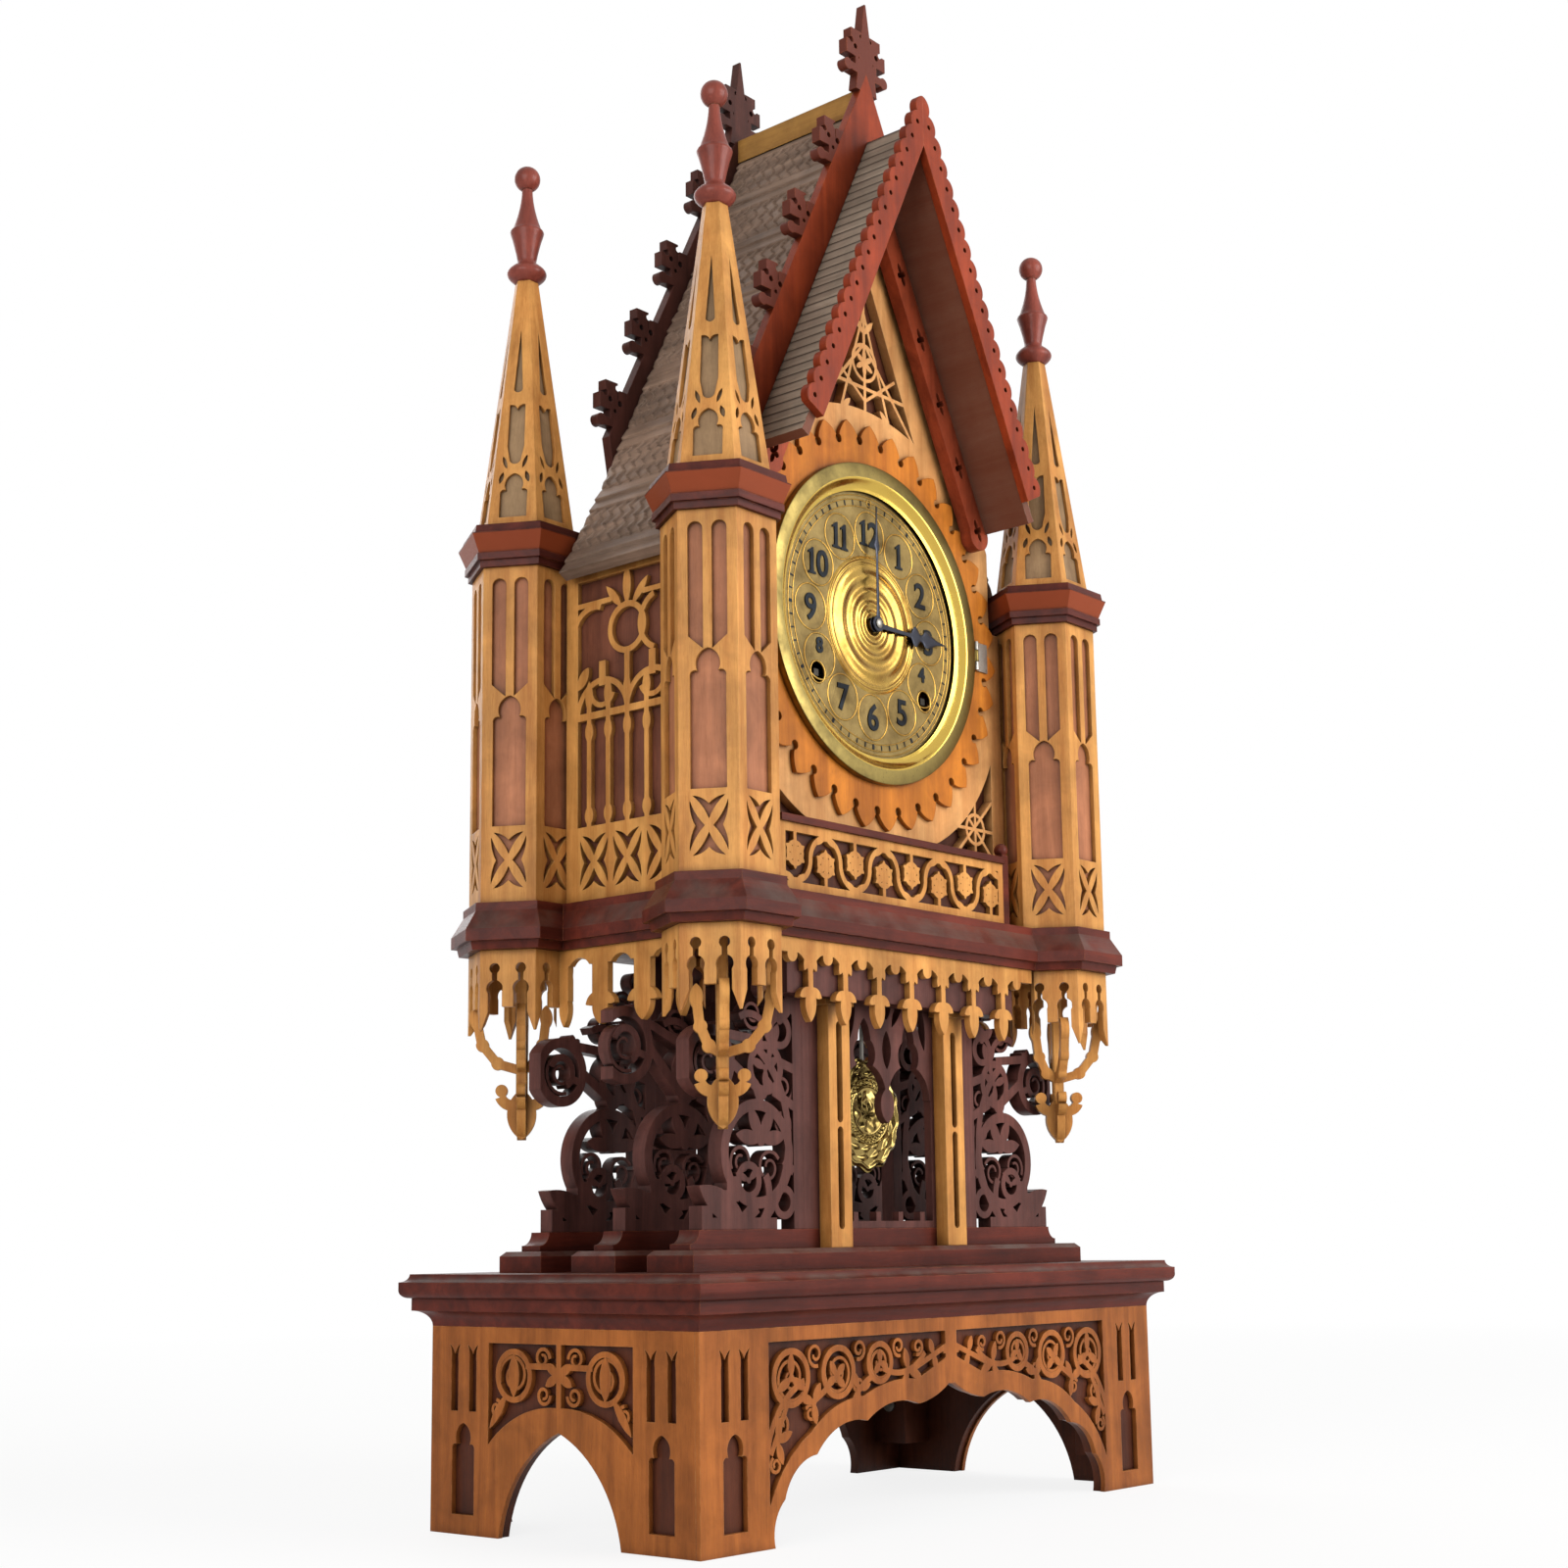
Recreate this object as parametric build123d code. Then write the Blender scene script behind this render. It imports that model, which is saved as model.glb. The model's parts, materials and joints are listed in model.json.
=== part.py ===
from build123d import *
import os
from math import atan2, cos, degrees, hypot, pi, radians, sin, sqrt

# Gothic fretwork mantel clock. Millimetres, +Z up, front towards -Y, origin at the middle of the
# footprint on the floor. Boards are flat outlines carried through their thickness.

# Base box
BASE_W = 400.0
BASE_D = 192.0
BASE_H = 105.0
FRET_T = 3.0
BACKING_T = 6.0
ARCH_HALF = 146.0
ARCH_RAIL = 33.0
SIDE_ARCH_HALF = 44.0
SIDE_ARCH_RAIL = 51.0
BLOCK = 24.0
BLOCK_LOW = 18.0
SCREW_R = 2.2
SCREW_HEAD = 1.4
COVE_H = 14.5
COVE_OUT = 8.0
PLATE_T = 12.5
PLATE_OVER = 13.0

# Plinth bars and open lower stage
BRACKET_PLANES = (-51.5, 3.0, 58.0)
FOOT_HALF = 173.0
FOOT_W = 32.0
FOOT_T = 11.0
BAR_HALF = 163.0
BAR_W = 14.0
BAR_T = 10.0
BRACKET_T = 9.0
SCREEN_T = 5.0
STILE_IN = 74.0
STILE_W = 8.0
POST_X = 52.0
POST_W = 18.0
POST_T = 8.0
POST_CAP_T = 3.0
POST_H = 130.0

# Belt, walls and turrets
STAGE_H = 152.0
BELT_T = 26.0
BELT_OUT = 9.0
BODY_HALF = 147.0
BODY_FRONT = -72.0
BODY_REAR = 64.0
TURRET_X = 152.0
TURRET_FRONT = -69.0
TURRET_REAR = 80.0
TURRET_R = 31.4
SLEEVE_T = 2.6
SHAFT_H = 190.0
CAP_H = 24.0
CAP_R = 40.0
SPIRE_R = 29.0
SPIRE_TOP_R = 7.0
SPIRE_H = 155.0
SPIRE_T = 2.0
FINIAL_H = 73.0
APRON_DROP = 44.0
APRON_T = 4.0
APRON_OUT = 3.0
PENDANT_T = 5.0
PENDANT_DROP = 102.0
WALL_T = 6.0
WALL_FRONT = -50.0
WALL_HALF = 130.0
SIDE_WALL_X = 145.0
BACK_WALL_Y = 38.0
LINING_T = 3.0
RAIL_HALF = 103.0
RAIL_H = 38.0

# Roof and porch; sizes named UP are heights over the belt moulding
ROOF_SLOPE = 2.0
ROOF_UP = 495.0
ROOF_T = 7.0
KNEE_X = 127.0
EAVE_X = 158.0
EAVE_UP = 186.0
ROOF_FRONT = -41.0
GABLE_X = 116.0
ROOF_REAR = 46.0
VERGE_T = 6.0
VERGE_RISE = 8.0
VERGE_FOOT = 112.0
SPIKE_UP = 559.0
RIDGE_W = 6.0
RIDGE_UP = 504.0
PORCH_FRONT = -98.0
PORCH_UP = 469.0
PORCH_DROP = 14.0
BARGE_UP = 484.0
PORCH_X = 110.0
BARGE_T = 5.0
BARGE_W = 14.0
SCALLOPS = 20
COURSES = 34
COURSE_STEP = 1.2
INNER_T = 8.0
INNER_W = 14.5
INNER_X = 103.0

# Clock
DIAL_UP = 169.0
DIAL_R = 85.5
DIAL_T = 1.0
DIAL_HOLE_R = 72.0
PETALS = 35
PETAL_IN_R = 86.0
PETAL_L = 12.0
PETAL_TIP_R = 121.5
PETAL_T = 3.0
BEZEL_R = 95.0
BEZEL_SIGHT_R = 79.0
BEZEL_H = 4.5
PIN_OUT = 4.5
PIN_R = 0.8
KNUCKLE_R = 1.5
KNUCKLE_L = 7.0
WIND_X = 49.5
WIND_DROP = 37.0
WIND_HOLE_R = 6.0
CENTRE_HOLE_R = 7.0
WIND_R = 3.0
ARBOR_R = 2.0
TIP_R = 1.2
HAND_T = 0.8
HOUR_HAND = 68.0
HOUR_STAND = 3.8
MINUTE_HAND = 71.0
MINUTE_STAND = 6.0
MOTION_FAR = 18.0
ESCAPE_DROP = 22.0
FIT = 0.05
PLATE_HALF = 60.0
PLATE_BRASS = 1.5
MOVE_FRONT = -28.5
MOVE_DEPTH = 28.0
CLEAT_W = 10.0
PENDULUM_Y = -38.0
PENDULUM_DROP = 32.0
BOB_DROP = 252.0
BOB_W = 60.0
BOB_H = 68.0
BOB_T = 5.0
ROD_R = 1.2
STUD_R = 2.5
BELL_R = 28.0

# Levels that follow from the sizes above
ARCH_TOP = BASE_H - ARCH_RAIL
SIDE_ARCH_TOP = BASE_H - SIDE_ARCH_RAIL
COVE_TOP = BASE_H + COVE_H
PLATE_TOP = COVE_TOP + PLATE_T
FOOT_TOP = PLATE_TOP + FOOT_T
BAR_TOP = FOOT_TOP + BAR_T
BELT_LOW = BAR_TOP + STAGE_H
BELT_TOP = BELT_LOW + BELT_T
SHAFT_TOP = BELT_TOP + SHAFT_H
CAP_TOP = SHAFT_TOP + CAP_H
SPIRE_TOP = CAP_TOP + SPIRE_H
POST_TOP = FOOT_TOP + POST_H
ROOF_TOP = BELT_TOP + ROOF_UP
EAVE_Z = BELT_TOP + EAVE_UP
SPIKE_TOP = BELT_TOP + SPIKE_UP
RIDGE_TOP = BELT_TOP + RIDGE_UP
PORCH_TOP = BELT_TOP + PORCH_UP
BARGE_TOP = BELT_TOP + BARGE_UP
DIAL_Z = BELT_TOP + DIAL_UP
PENDULUM_Z = DIAL_Z - PENDULUM_DROP
BOB_Z = PENDULUM_Z - BOB_DROP
PETAL_ROOT_R = PETAL_TIP_R - PETAL_L
ROOF_DROP = ROOF_T * sqrt(1 + ROOF_SLOPE ** 2)
ROOF_UNDER = ROOF_TOP - ROOF_DROP
WALL_BACK = WALL_FRONT + WALL_T
TURRET_SPOTS = [(sx * TURRET_X, y) for y in (TURRET_FRONT, TURRET_REAR) for sx in (-1, 1)]
HEX_FLAT = sqrt(3) / 2
# The pieces are drawn about the middle of the base; the frame stands half way from plate to rear moulding.
FRAME_SHIFT = (TURRET_REAR + TURRET_R * HEX_FLAT + BELT_OUT - BASE_D / 2 - PLATE_OVER) / 2


def facing(x, y, angle):
    """Upright drawing plane through (x, y): u runs to the viewer's right, v is height."""
    a = radians(angle)
    return Plane(origin=(x, y, 0), x_dir=(-sin(a), cos(a), 0), z_dir=(cos(a), sin(a), 0))


def board(shape, plane, thickness):
    """Carry a flat outline out of its plane, towards the viewer."""
    return extrude(plane * shape, amount=thickness, dir=plane.z_dir)


def front_board(shape, y, thickness):
    """Board with its front face at y, going back by thickness."""
    return board(shape, facing(0, y + thickness, -90), thickness)


def box(x0, x1, y0, y1, z0, z1):
    """Box between opposite corners."""
    return Pos((x0 + x1) / 2, (y0 + y1) / 2, (z0 + z1) / 2) * Box(x1 - x0, y1 - y0, z1 - z0)


def poly(*points):
    """Face inside straight edges."""
    return make_face(Polyline(*points, close=True))


def rect(u0, u1, v0, v1):
    """Face of an upright rectangle."""
    return Pos((u0 + u1) / 2, (v0 + v1) / 2) * Rectangle(u1 - u0, v1 - v0)


def bulge(p, q, sag):
    """Arc from p to q whose middle stands sag to the left of the way from p to q."""
    du, dv = q[0] - p[0], q[1] - p[1]
    run = hypot(du, dv)
    mid = ((p[0] + q[0]) / 2 - dv / run * sag, (p[1] + q[1]) / 2 + du / run * sag)
    return ThreePointArc(p, mid, q)


def curved(*steps):
    """Face from (point, sag of the edge that leaves it) pairs; sag 0 is straight."""
    edges = []
    for (p, sag), (q, _) in zip(steps, steps[1:] + steps[:1]):
        edges.append(bulge(p, q, sag) if sag else Line(p, q))
    return make_face(edges)


def leaf(p, q, width):
    """Pointed leaf between two points."""
    return curved((p, width / 2), (q, width / 2))


def bar(p, q, width):
    """Straight strip between two points."""
    du, dv = q[0] - p[0], q[1] - p[1]
    run = hypot(du, dv)
    nu, nv = -dv / run * width / 2, du / run * width / 2
    return poly((p[0] + nu, p[1] + nv), (q[0] + nu, q[1] + nv), (q[0] - nu, q[1] - nv),
                (p[0] - nu, p[1] - nv))


def arc_strip(centre, radius, start, sweep, width):
    """Strip bent round a centre, angles in degrees."""
    outer = CenterArc(centre, radius + width / 2, start, sweep)
    inner = CenterArc(centre, radius - width / 2, start, sweep)
    return make_face([outer, Line(outer @ 1, inner @ 1), inner, Line(inner @ 0, outer @ 0)])


def ring(centre, radius, width):
    """Closed round strip."""
    return Pos(*centre) * (Circle(radius + width / 2) - Circle(radius - width / 2))


def rays(centre, reach, width, angles):
    """Spray of leaves from one round hub."""
    tips = [(centre[0] + reach * cos(radians(a)), centre[1] + reach * sin(radians(a))) for a in angles]
    return [leaf(centre, tip, width) for tip in tips] + [Pos(*centre) * Circle(width * 0.4)]


def pierced(outline, holes):
    """Face with clear holes; the holes lie inside it and apart from each other."""
    face = outline.face() if not isinstance(outline, Face) else outline
    return Face(face.outer_wire(), [h.face().outer_wire() for h in holes])


def joined(*groups):
    """One outline from faces and lists of faces that overlap."""
    flat = []
    for group in groups:
        flat.extend(group if isinstance(group, (list, tuple)) else [group])
    return flat[0] + flat[1:]


def both_sides(shapes):
    """Shapes and their mirror images across u = 0."""
    return list(shapes) + [mirror(s, about=Plane.YZ) for s in shapes]


def cusped_lancet(u, v0, width, height):
    """Opening with rounded shoulders and a narrower pointed head."""
    half, neck = width / 2, width * 0.29
    spring = v0 + height - width * 0.8
    cusp = spring + width * 0.16
    return curved(((u + half, v0), 0), ((u + half, spring), width * -0.09), ((u + neck, cusp), width * -0.17),
                  ((u, v0 + height), width * -0.17), ((u - neck, cusp), width * -0.09),
                  ((u - half, spring), 0), ((u - half, v0), 0))


def round_lancet(u, v0, width, height, skew):
    """Tall opening with a round head; its foot slopes by skew."""
    half = width / 2
    top = v0 + height - half
    return curved(((u + half, v0 - skew), 0), ((u + half, top), -half), ((u - half, top), 0),
                  ((u - half, v0 + skew), 0))


def tulip(u, v0, width, height):
    """Narrow opening with a three-pointed tulip head."""
    half, top = width / 2, v0 + height
    flare = half * 1.5
    return curved(((u + half, v0), 0), ((u + half, top - 9), half * 0.3), ((u + flare, top), -half * 0.2),
                  ((u, top - 5), -half * 0.2), ((u - flare, top), half * 0.3), ((u - half, top - 9), 0),
                  ((u - half, v0), 0))


def petal_cross(u, v, half_u, half_v):
    """Four winged openings that leave a diagonal cross of four petals."""
    holes = []
    for du, dv in ((1, 0), (-1, 0), (0, 1), (0, -1)):
        def spot(out, side):
            return (u + half_u * (du * out + dv * side), v + half_v * (dv * out - du * side))
        holes.append(curved((spot(0.22, 0), 0.9), (spot(1, 0.85), -0.9), (spot(0.72, 0), -0.9),
                            (spot(1, -0.85), 0.9)))
    return holes


def quatrefoil(u, v, along, size):
    """Four-lobed piercing with its long lobes turned to the angle along."""
    c, s = cos(radians(along)), sin(radians(along))
    side = [Pos(u - s * k * size * 0.5, v + c * k * size * 0.5) * Circle(size * 0.42) for k in (-1, 1)]
    ends = [leaf((u, v), (u + c * k * size * 1.7, v + s * k * size * 1.7), size * 0.75) for k in (-1, 1)]
    return joined(side, ends, Pos(u, v) * Circle(size * 0.4))


def hex_prism(radius, z0, z1):
    """Upright hexagonal prism with flats to the front and rear."""
    return Pos(0, 0, z0) * extrude(RegularPolygon(radius, 6), amount=z1 - z0)


def hex_frustum(low_r, high_r, z0, z1):
    """Hexagonal prism whose radius runs evenly from low_r to high_r."""
    low = Pos(0, 0, z0) * RegularPolygon(low_r, 6)
    high = Pos(0, 0, z1) * RegularPolygon(high_r, 6)
    return loft([low.face(), high.face()], ruled=True)


def at_turrets(piece):
    """The same piece at all four corner turrets."""
    return [Pos(x, y, 0) * piece for x, y in TURRET_SPOTS]


def corner_copies(piece):
    """A front left piece and its mirror images at the other three corners."""
    shift = TURRET_REAR + TURRET_FRONT
    left = [piece, Pos(0, shift, 0) * mirror(piece, about=Plane.XZ)]
    return left + [mirror(p, about=Plane.YZ) for p in left]


def save(node, *pieces):
    """Write one node's STEP file."""
    flat = []
    for piece in pieces:
        flat.extend(piece if isinstance(piece, (list, tuple)) else [piece])
    solids = [Pos(0, -FRAME_SHIFT, 0) * s for p in flat for s in p.solids()]
    shape = solids[0] if len(solids) == 1 else Compound(children=solids)
    shape.label = node
    export_step(shape, f"parts/{node}.step")


def end_panel(u):
    """Openings of one lancet panel at the end of a base facing."""
    sill = BASE_H - 43
    return [cusped_lancet(u, 10, 17, sill - 16), tulip(u - 7, sill, 5.5, 34), tulip(u + 7, sill, 5.5, 34)]


def front_arch(grow):
    """Opening under the base front, widened evenly by grow."""
    half, top = ARCH_HALF + grow, ARCH_TOP + grow
    right = [(half, -1), (half * 0.95, top * 0.31), (half * 0.78, top * 0.58), (half * 0.5, top * 0.77),
             (half * 0.2, top * 0.85), (0, top)]
    sags = [-4, -5, -6, -5, 2]
    steps = list(zip(right, sags))
    steps += [((-p[0], p[1]), s) for p, s in zip(right[:0:-1], sags[::-1])]
    return curved(*steps, ((-half, -1), 0))


def side_arch(grow):
    """Pointed opening under a base side, widened evenly by grow."""
    half, top = SIDE_ARCH_HALF + grow, SIDE_ARCH_TOP + grow
    return curved(((half, -1), -half * 0.22), ((0, top), -half * 0.22), ((-half, -1), 0))


def front_foliage():
    """Scrolls in the right half of the base front's upper field, placed from its end and its top."""
    edge, top = BASE_W / 2 - 50, BASE_H
    rings = [ring((edge - 17, top - 25), 13, 3.2), ring((edge - 54, top - 24), 12, 3.2),
             ring((edge - 88, top - 21), 9.5, 3)]
    stems = [arc_strip((edge - 40, top - 67), 42, 10, 62, 3.4),
             arc_strip((edge - 88, top - 53), 26, 15, 62, 3.2), arc_strip((edge - 104, top + 5), 32, 225, 70, 3),
             bar((edge - 118, top - 25), (edge - 146, top - 15), 3),
             bar((edge - 1, top - 61), (edge - 14, top - 37), 3.2),
             bar((edge - 33, top - 38), (edge - 46, top - 31), 3.2)]
    sprays = [(17, 25, 12.6, 5, (90, 210, 330)), (52, 26, 9, 4.5, (60, 140, 220, 330)),
              (88, 21, 7, 4, (90, 200, 310)), (6, 55, 12, 5, (100, 160, 250)),
              (34, 38, 11, 5, (20, 120, 260)), (70, 33, 10, 5, (60, 170, 280)),
              (112, 26, 12, 5, (75, 200, 300)), (134, 19, 9, 4.5, (70, 250))]
    leaves = [r for back, down, reach, wide, turns in sprays
              for r in rays((edge - back, top - down), reach, wide, turns)]
    return rings + stems + leaves


def make_base():
    """Footed base box: fret facings on dark backings, corner blocks, cove and plate."""
    half_w, half_d = BASE_W / 2, BASE_D / 2
    edge, top = half_w - 50, BASE_H
    field = curved(((edge, top - 85), 0), ((edge, top - 7), 0), ((5, top - 7), 0), ((5, top - 21), 0),
                   ((30, top - 31), 3), ((76, top - 37), 4), ((118, top - 52), 4))
    front = rect(-half_w, half_w, 0, BASE_H) - front_arch(0)
    front -= both_sides([field] + end_panel(half_w - 25))
    front += both_sides([joined(front_foliage()) & field])
    front += joined(bar((0, ARCH_TOP - 2), (0, BASE_H - 2), 4), bar((-7, top - 17), (7, top - 17), 4))
    save("base_front_fret", front_board(front, -half_d, FRET_T))
    inner_w = half_w - FRET_T
    arched = rect(-inner_w, inner_w, 0, BASE_H) - front_arch(1.5)
    front_back = front_board(arched, -half_d + FRET_T, BACKING_T)
    save("base_rear_board", front_board(arched, half_d - BACKING_T, BACKING_T))

    rear_u, front_u = -half_d, half_d - FRET_T
    head = curved(((52, top - 59), 0), ((52, top - 8), 0), ((-52, top - 8), 0), ((-52, top - 59), 6),
                  ((0, SIDE_ARCH_TOP + 12), 6))
    fill = [bar((0, top - 45), (0, top - 5), 3.4)] + rays((0, top - 23), 11, 5, (30, 150, 210, 330))
    for k in (-1, 1):
        fill += [ring((k * 33, top - 24), 12, 3), leaf((k * 33, top - 35), (k * 33, top - 13), 8),
                 leaf((k * 51, top - 51), (k * 38, top - 33), 5),
                 bar((k * 5, top - 19), (k * 24, top - 19), 3)]
    side = rect(rear_u, front_u, 0, BASE_H) - side_arch(0) - head
    side -= end_panel(front_u - 22) + end_panel(rear_u + 25)
    side += joined(fill) & head
    left = board(side, facing(-inner_w, 0, 180), FRET_T)
    save("base_side_frets", left, mirror(left, about=Plane.YZ))
    in_front = half_d - FRET_T - BACKING_T
    side_back = rect(-half_d + BACKING_T, in_front, 0, BASE_H) - side_arch(1.5)
    lining = board(side_back, facing(-inner_w + BACKING_T, 0, 180), BACKING_T)
    save("base_backings", front_back, lining, mirror(lining, about=Plane.YZ))

    block_x = inner_w - BACKING_T - BLOCK / 2
    block_ys = (-in_front + BLOCK / 2, half_d - BACKING_T - BLOCK / 2)
    blocks, screws = [], []
    for x, y in [(sx * block_x, y) for sx in (-1, 1) for y in block_ys]:
        block = Pos(x, y, (BLOCK_LOW + BASE_H) / 2) * Box(BLOCK, BLOCK, BASE_H - BLOCK_LOW)
        inward = -1 if x > 0 else 1
        for z in (BLOCK_LOW + BLOCK, BASE_H - BLOCK):
            seat = Pos(x + inward * BLOCK / 2, y, z) * Rot(0, 90 * inward, 0)
            shank = seat * Pos(0, 0, -BLOCK / 4) * Cylinder(SCREW_R, BLOCK / 2)
            block -= shank
            head_disc = seat * Pos(0, 0, SCREW_HEAD / 2) * Cylinder(2 * SCREW_R, SCREW_HEAD)
            slot = seat * Pos(0, 0, SCREW_HEAD) * Box(1, 5 * SCREW_R, SCREW_HEAD)
            screws.append(shank + head_disc - slot)
        blocks.append(block)
    save("base_corner_blocks", blocks)
    save("base_screws", screws)

    out_w, out_d = half_w + COVE_OUT, half_d + COVE_OUT
    cove = box(-out_w, out_w, -out_d, out_d, BASE_H, COVE_TOP)
    plate_x, plate_y = half_w + PLATE_OVER, half_d + PLATE_OVER
    plate = box(-plate_x, plate_x, -plate_y, plate_y, COVE_TOP, PLATE_TOP)
    plate = fillet(plate.edges().group_by(Axis.Z)[0], PLATE_T / 3)
    save("base_cove", cove - edge_rounds(out_w, out_d, BASE_H, COVE_OUT))
    save("base_plate", plate - edge_rounds(plate_x, plate_y, PLATE_TOP, PLATE_T / 3))


def edge_rounds(half_x, half_y, z, radius):
    """Four round bars along the edges of a rectangle, for hollowing a moulding."""
    bars = []
    for sign in (-1, 1):
        bars.append(Pos(sign * half_x, 0, z) * Rot(90, 0, 0) * Cylinder(radius, 2 * half_y + 20))
        bars.append(Pos(0, sign * half_y, z) * Rot(0, 90, 0) * Cylinder(radius, 2 * half_x + 20))
    return bars


def scroll_bracket(reach, lift, size):
    """Right-hand scroll bracket outline; its upper ring of radius size is centred at (reach, lift)."""
    foot, top = BAR_TOP, BELT_LOW
    big, small, eye = (111, foot + 39), (92, foot + 104), (118, foot + 25)
    strips = [rect(STILE_IN, STILE_IN + STILE_W, foot, top), ring(big, 25.5, 6), ring(eye, 8, 4),
              ring((reach, foot + lift), size, 5.5), arc_strip((reach, foot + lift), size * 0.5, 20, 220, 4),
              bar((reach - size * 0.45, foot + lift - 3), (reach - size, foot + lift - 6), 4),
              ring(small, 7.5, 4), ring((90, foot + 14), 7, 4), ring((104, foot + 84), 12, 4.5),
              arc_strip((142, foot + 48), 56, 122, 112, 5), arc_strip((122, foot + 18), 20, 150, 75, 5),
              arc_strip((116, foot + 96), 16, 60, 160, 4), bar((82, foot + 30), (90, foot + 36), 5),
              bar((80, foot + 64), (98, foot + 72), 5), bar((84, foot + 114), (80, foot + 140), 5),
              bar((80, foot + 84), (94, foot + 88), 5), bar((112, foot + 64), (100, foot + 78), 5),
              bar((112, foot + 74), (reach - size, foot + lift), 5.5),
              bar((106, foot + 98), (reach - 6, foot + lift + size - 1), 5),
              bar((98, foot + 110), (80, foot + 126), 5)]
    foot_leaf = [rect(96, 150, foot, foot + 6), leaf((120, foot + 2), (156, foot + 22), 15),
                 rect(132, 141, foot + 4, foot + 20), rect(139, 149, foot + 12, foot + 21),
                 rect(146, 154, foot, foot + 12), rect(126, 135, foot + 14, foot + 27),
                 bar((112, foot + 12), (126, foot + 2), 8)]
    crest = (reach - size * 0.5, foot + lift + size * 0.87)
    sprays = [((big[0] - 3, big[1] + 7), 20, 8, (8, 62, 118, 172)), (eye, 11, 4, (20, 140)),
              ((big[0] - 2, big[1] + 27), 13, 6, (75, 125)), ((98, foot + 96), 13, 6, (60, 110)),
              ((small[0], small[1] + 6), 13, 6, (30, 140)), (crest, 7, 5, (90, 140)),
              ((104, foot + 84), 12, 5, (20, 150, 270))]
    leaves = [r for centre, far, wide, turns in sprays for r in rays(centre, far, wide, turns)]
    return joined(strips, foot_leaf, leaves) & rect(STILE_IN, BAR_HALF, foot, top)


def tracery_screen():
    """Cusped double arch between the bracket stiles."""
    low, top = BAR_TOP, BELT_LOW
    clear = POST_X - POST_W / 2 - 3
    lobe = clear / 2
    spring = low + 72
    opening = [rect(-clear, clear, low - 1, spring), rect(-4, 4, spring - 4, spring + 2)]
    piercings = [leaf((0, spring + 16), (0, spring + 38), 8), leaf((0, spring + 44), (0, spring + 62), 9)]
    for k in (-1, 1):
        opening += [Pos(k * lobe, spring) * Circle(lobe - 1),
                    Pos(k * lobe, spring + 24) * Circle(lobe * 0.48),
                    rect(k * lobe - 5, k * lobe + 5, spring, spring + 22),
                    leaf((k * lobe, spring + 20), (k * lobe, spring + 44), 11)]
        piercings += [leaf((k * 5, spring + 40), (k * 17, spring + 62), 6),
                      leaf((k * 35, spring + 28), (k * 29, spring + 60), 7)]
    drop = leaf((0, spring + 6), (0, spring - 14), 12)
    return rect(-STILE_IN, STILE_IN, low, top) - opening - piercings + drop


def make_lower_stage():
    """Plinth bars, scroll brackets, screens, slotted posts, lintel and sill."""
    feet, bars, left_set = [], [], []
    for y in BRACKET_PLANES:
        near = y - BRACKET_T / 2
        foot = box(-FOOT_HALF, FOOT_HALF, y - FOOT_W / 2, y + FOOT_W / 2, PLATE_TOP, FOOT_TOP)
        feet.append(chamfer(foot.edges().group_by(Axis.Z)[-1], 2.5))
        upper = box(-BAR_HALF, BAR_HALF, near, near + BAR_W, FOOT_TOP, BAR_TOP)
        for sign in (-1, 1):
            upper -= Pos(sign * BAR_HALF, y, BAR_TOP) * Rot(90, 0, 0) * Cylinder(BAR_T * 0.7, 3 * BAR_W)
        bars.append(upper)
        outline = scroll_bracket(153, 97, 18) if y == BRACKET_PLANES[1] else scroll_bracket(147, 86, 16)
        left_set.append(mirror(front_board(outline, near, BRACKET_T), about=Plane.YZ))
    save("plinth_feet", feet)
    save("plinth_bars", bars)
    save("scroll_brackets", left_set, [mirror(b, about=Plane.YZ) for b in left_set])
    screen_front = BRACKET_PLANES[0] - BRACKET_T / 2
    rear_front = BRACKET_PLANES[2] - BRACKET_T / 2
    screen = tracery_screen()
    save("tracery_screens", [front_board(screen, y, SCREEN_T) for y in (screen_front, rear_front)])

    slots = [curved(((2.4, a), 0), ((2.4, a + 50), -2.4), ((-2.4, a + 50), 0), ((-2.4, a), -2.4))
             for a in (FOOT_TOP + 12, FOOT_TOP + 69)]
    half = POST_W / 2
    post_front = screen_front - POST_T
    strip = front_board(pierced(rect(-half, half, FOOT_TOP, POST_TOP), slots), post_front, POST_T)
    cap = box(-half - 3, half + 3, post_front - 1, screen_front, POST_TOP, POST_TOP + POST_CAP_T)
    save("front_posts", [Pos(k * POST_X, 0, 0) * p for k in (-1, 1) for p in (strip, cap)])
    lintel_front = BODY_FRONT - APRON_OUT + APRON_T
    lintel = box(-RAIL_HALF, RAIL_HALF, lintel_front, screen_front, POST_TOP + POST_CAP_T, BELT_LOW)
    save("front_lintel", lintel)
    clear = POST_X - POST_W / 2 - 3
    merlons = [rect(-clear, clear, BAR_TOP, BAR_TOP + 4)]
    merlons += [rect(c - 2, c + 2, BAR_TOP, BAR_TOP + 9) for c in (-30, -10, 10, 30)]
    save("crenel_sill", front_board(joined(merlons), screen_front, SCREEN_T))


def belt_layer(grow_low, grow_high, z0, z1):
    """One moulding course round the body and turrets, spreading from grow_low to grow_high."""
    deep, mid = BODY_REAR - BODY_FRONT, (BODY_REAR + BODY_FRONT) / 2
    faces = [Pos(0, mid, z) * Rectangle(2 * (BODY_HALF + g), deep + 2 * g)
             for g, z in ((grow_low, z0), (grow_high, z1))]
    body = loft([f.face() for f in faces], ruled=True)
    corner = hex_frustum(TURRET_R + grow_low / HEX_FLAT, TURRET_R + grow_high / HEX_FLAT, z0, z1)
    return body + at_turrets(corner)


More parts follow.
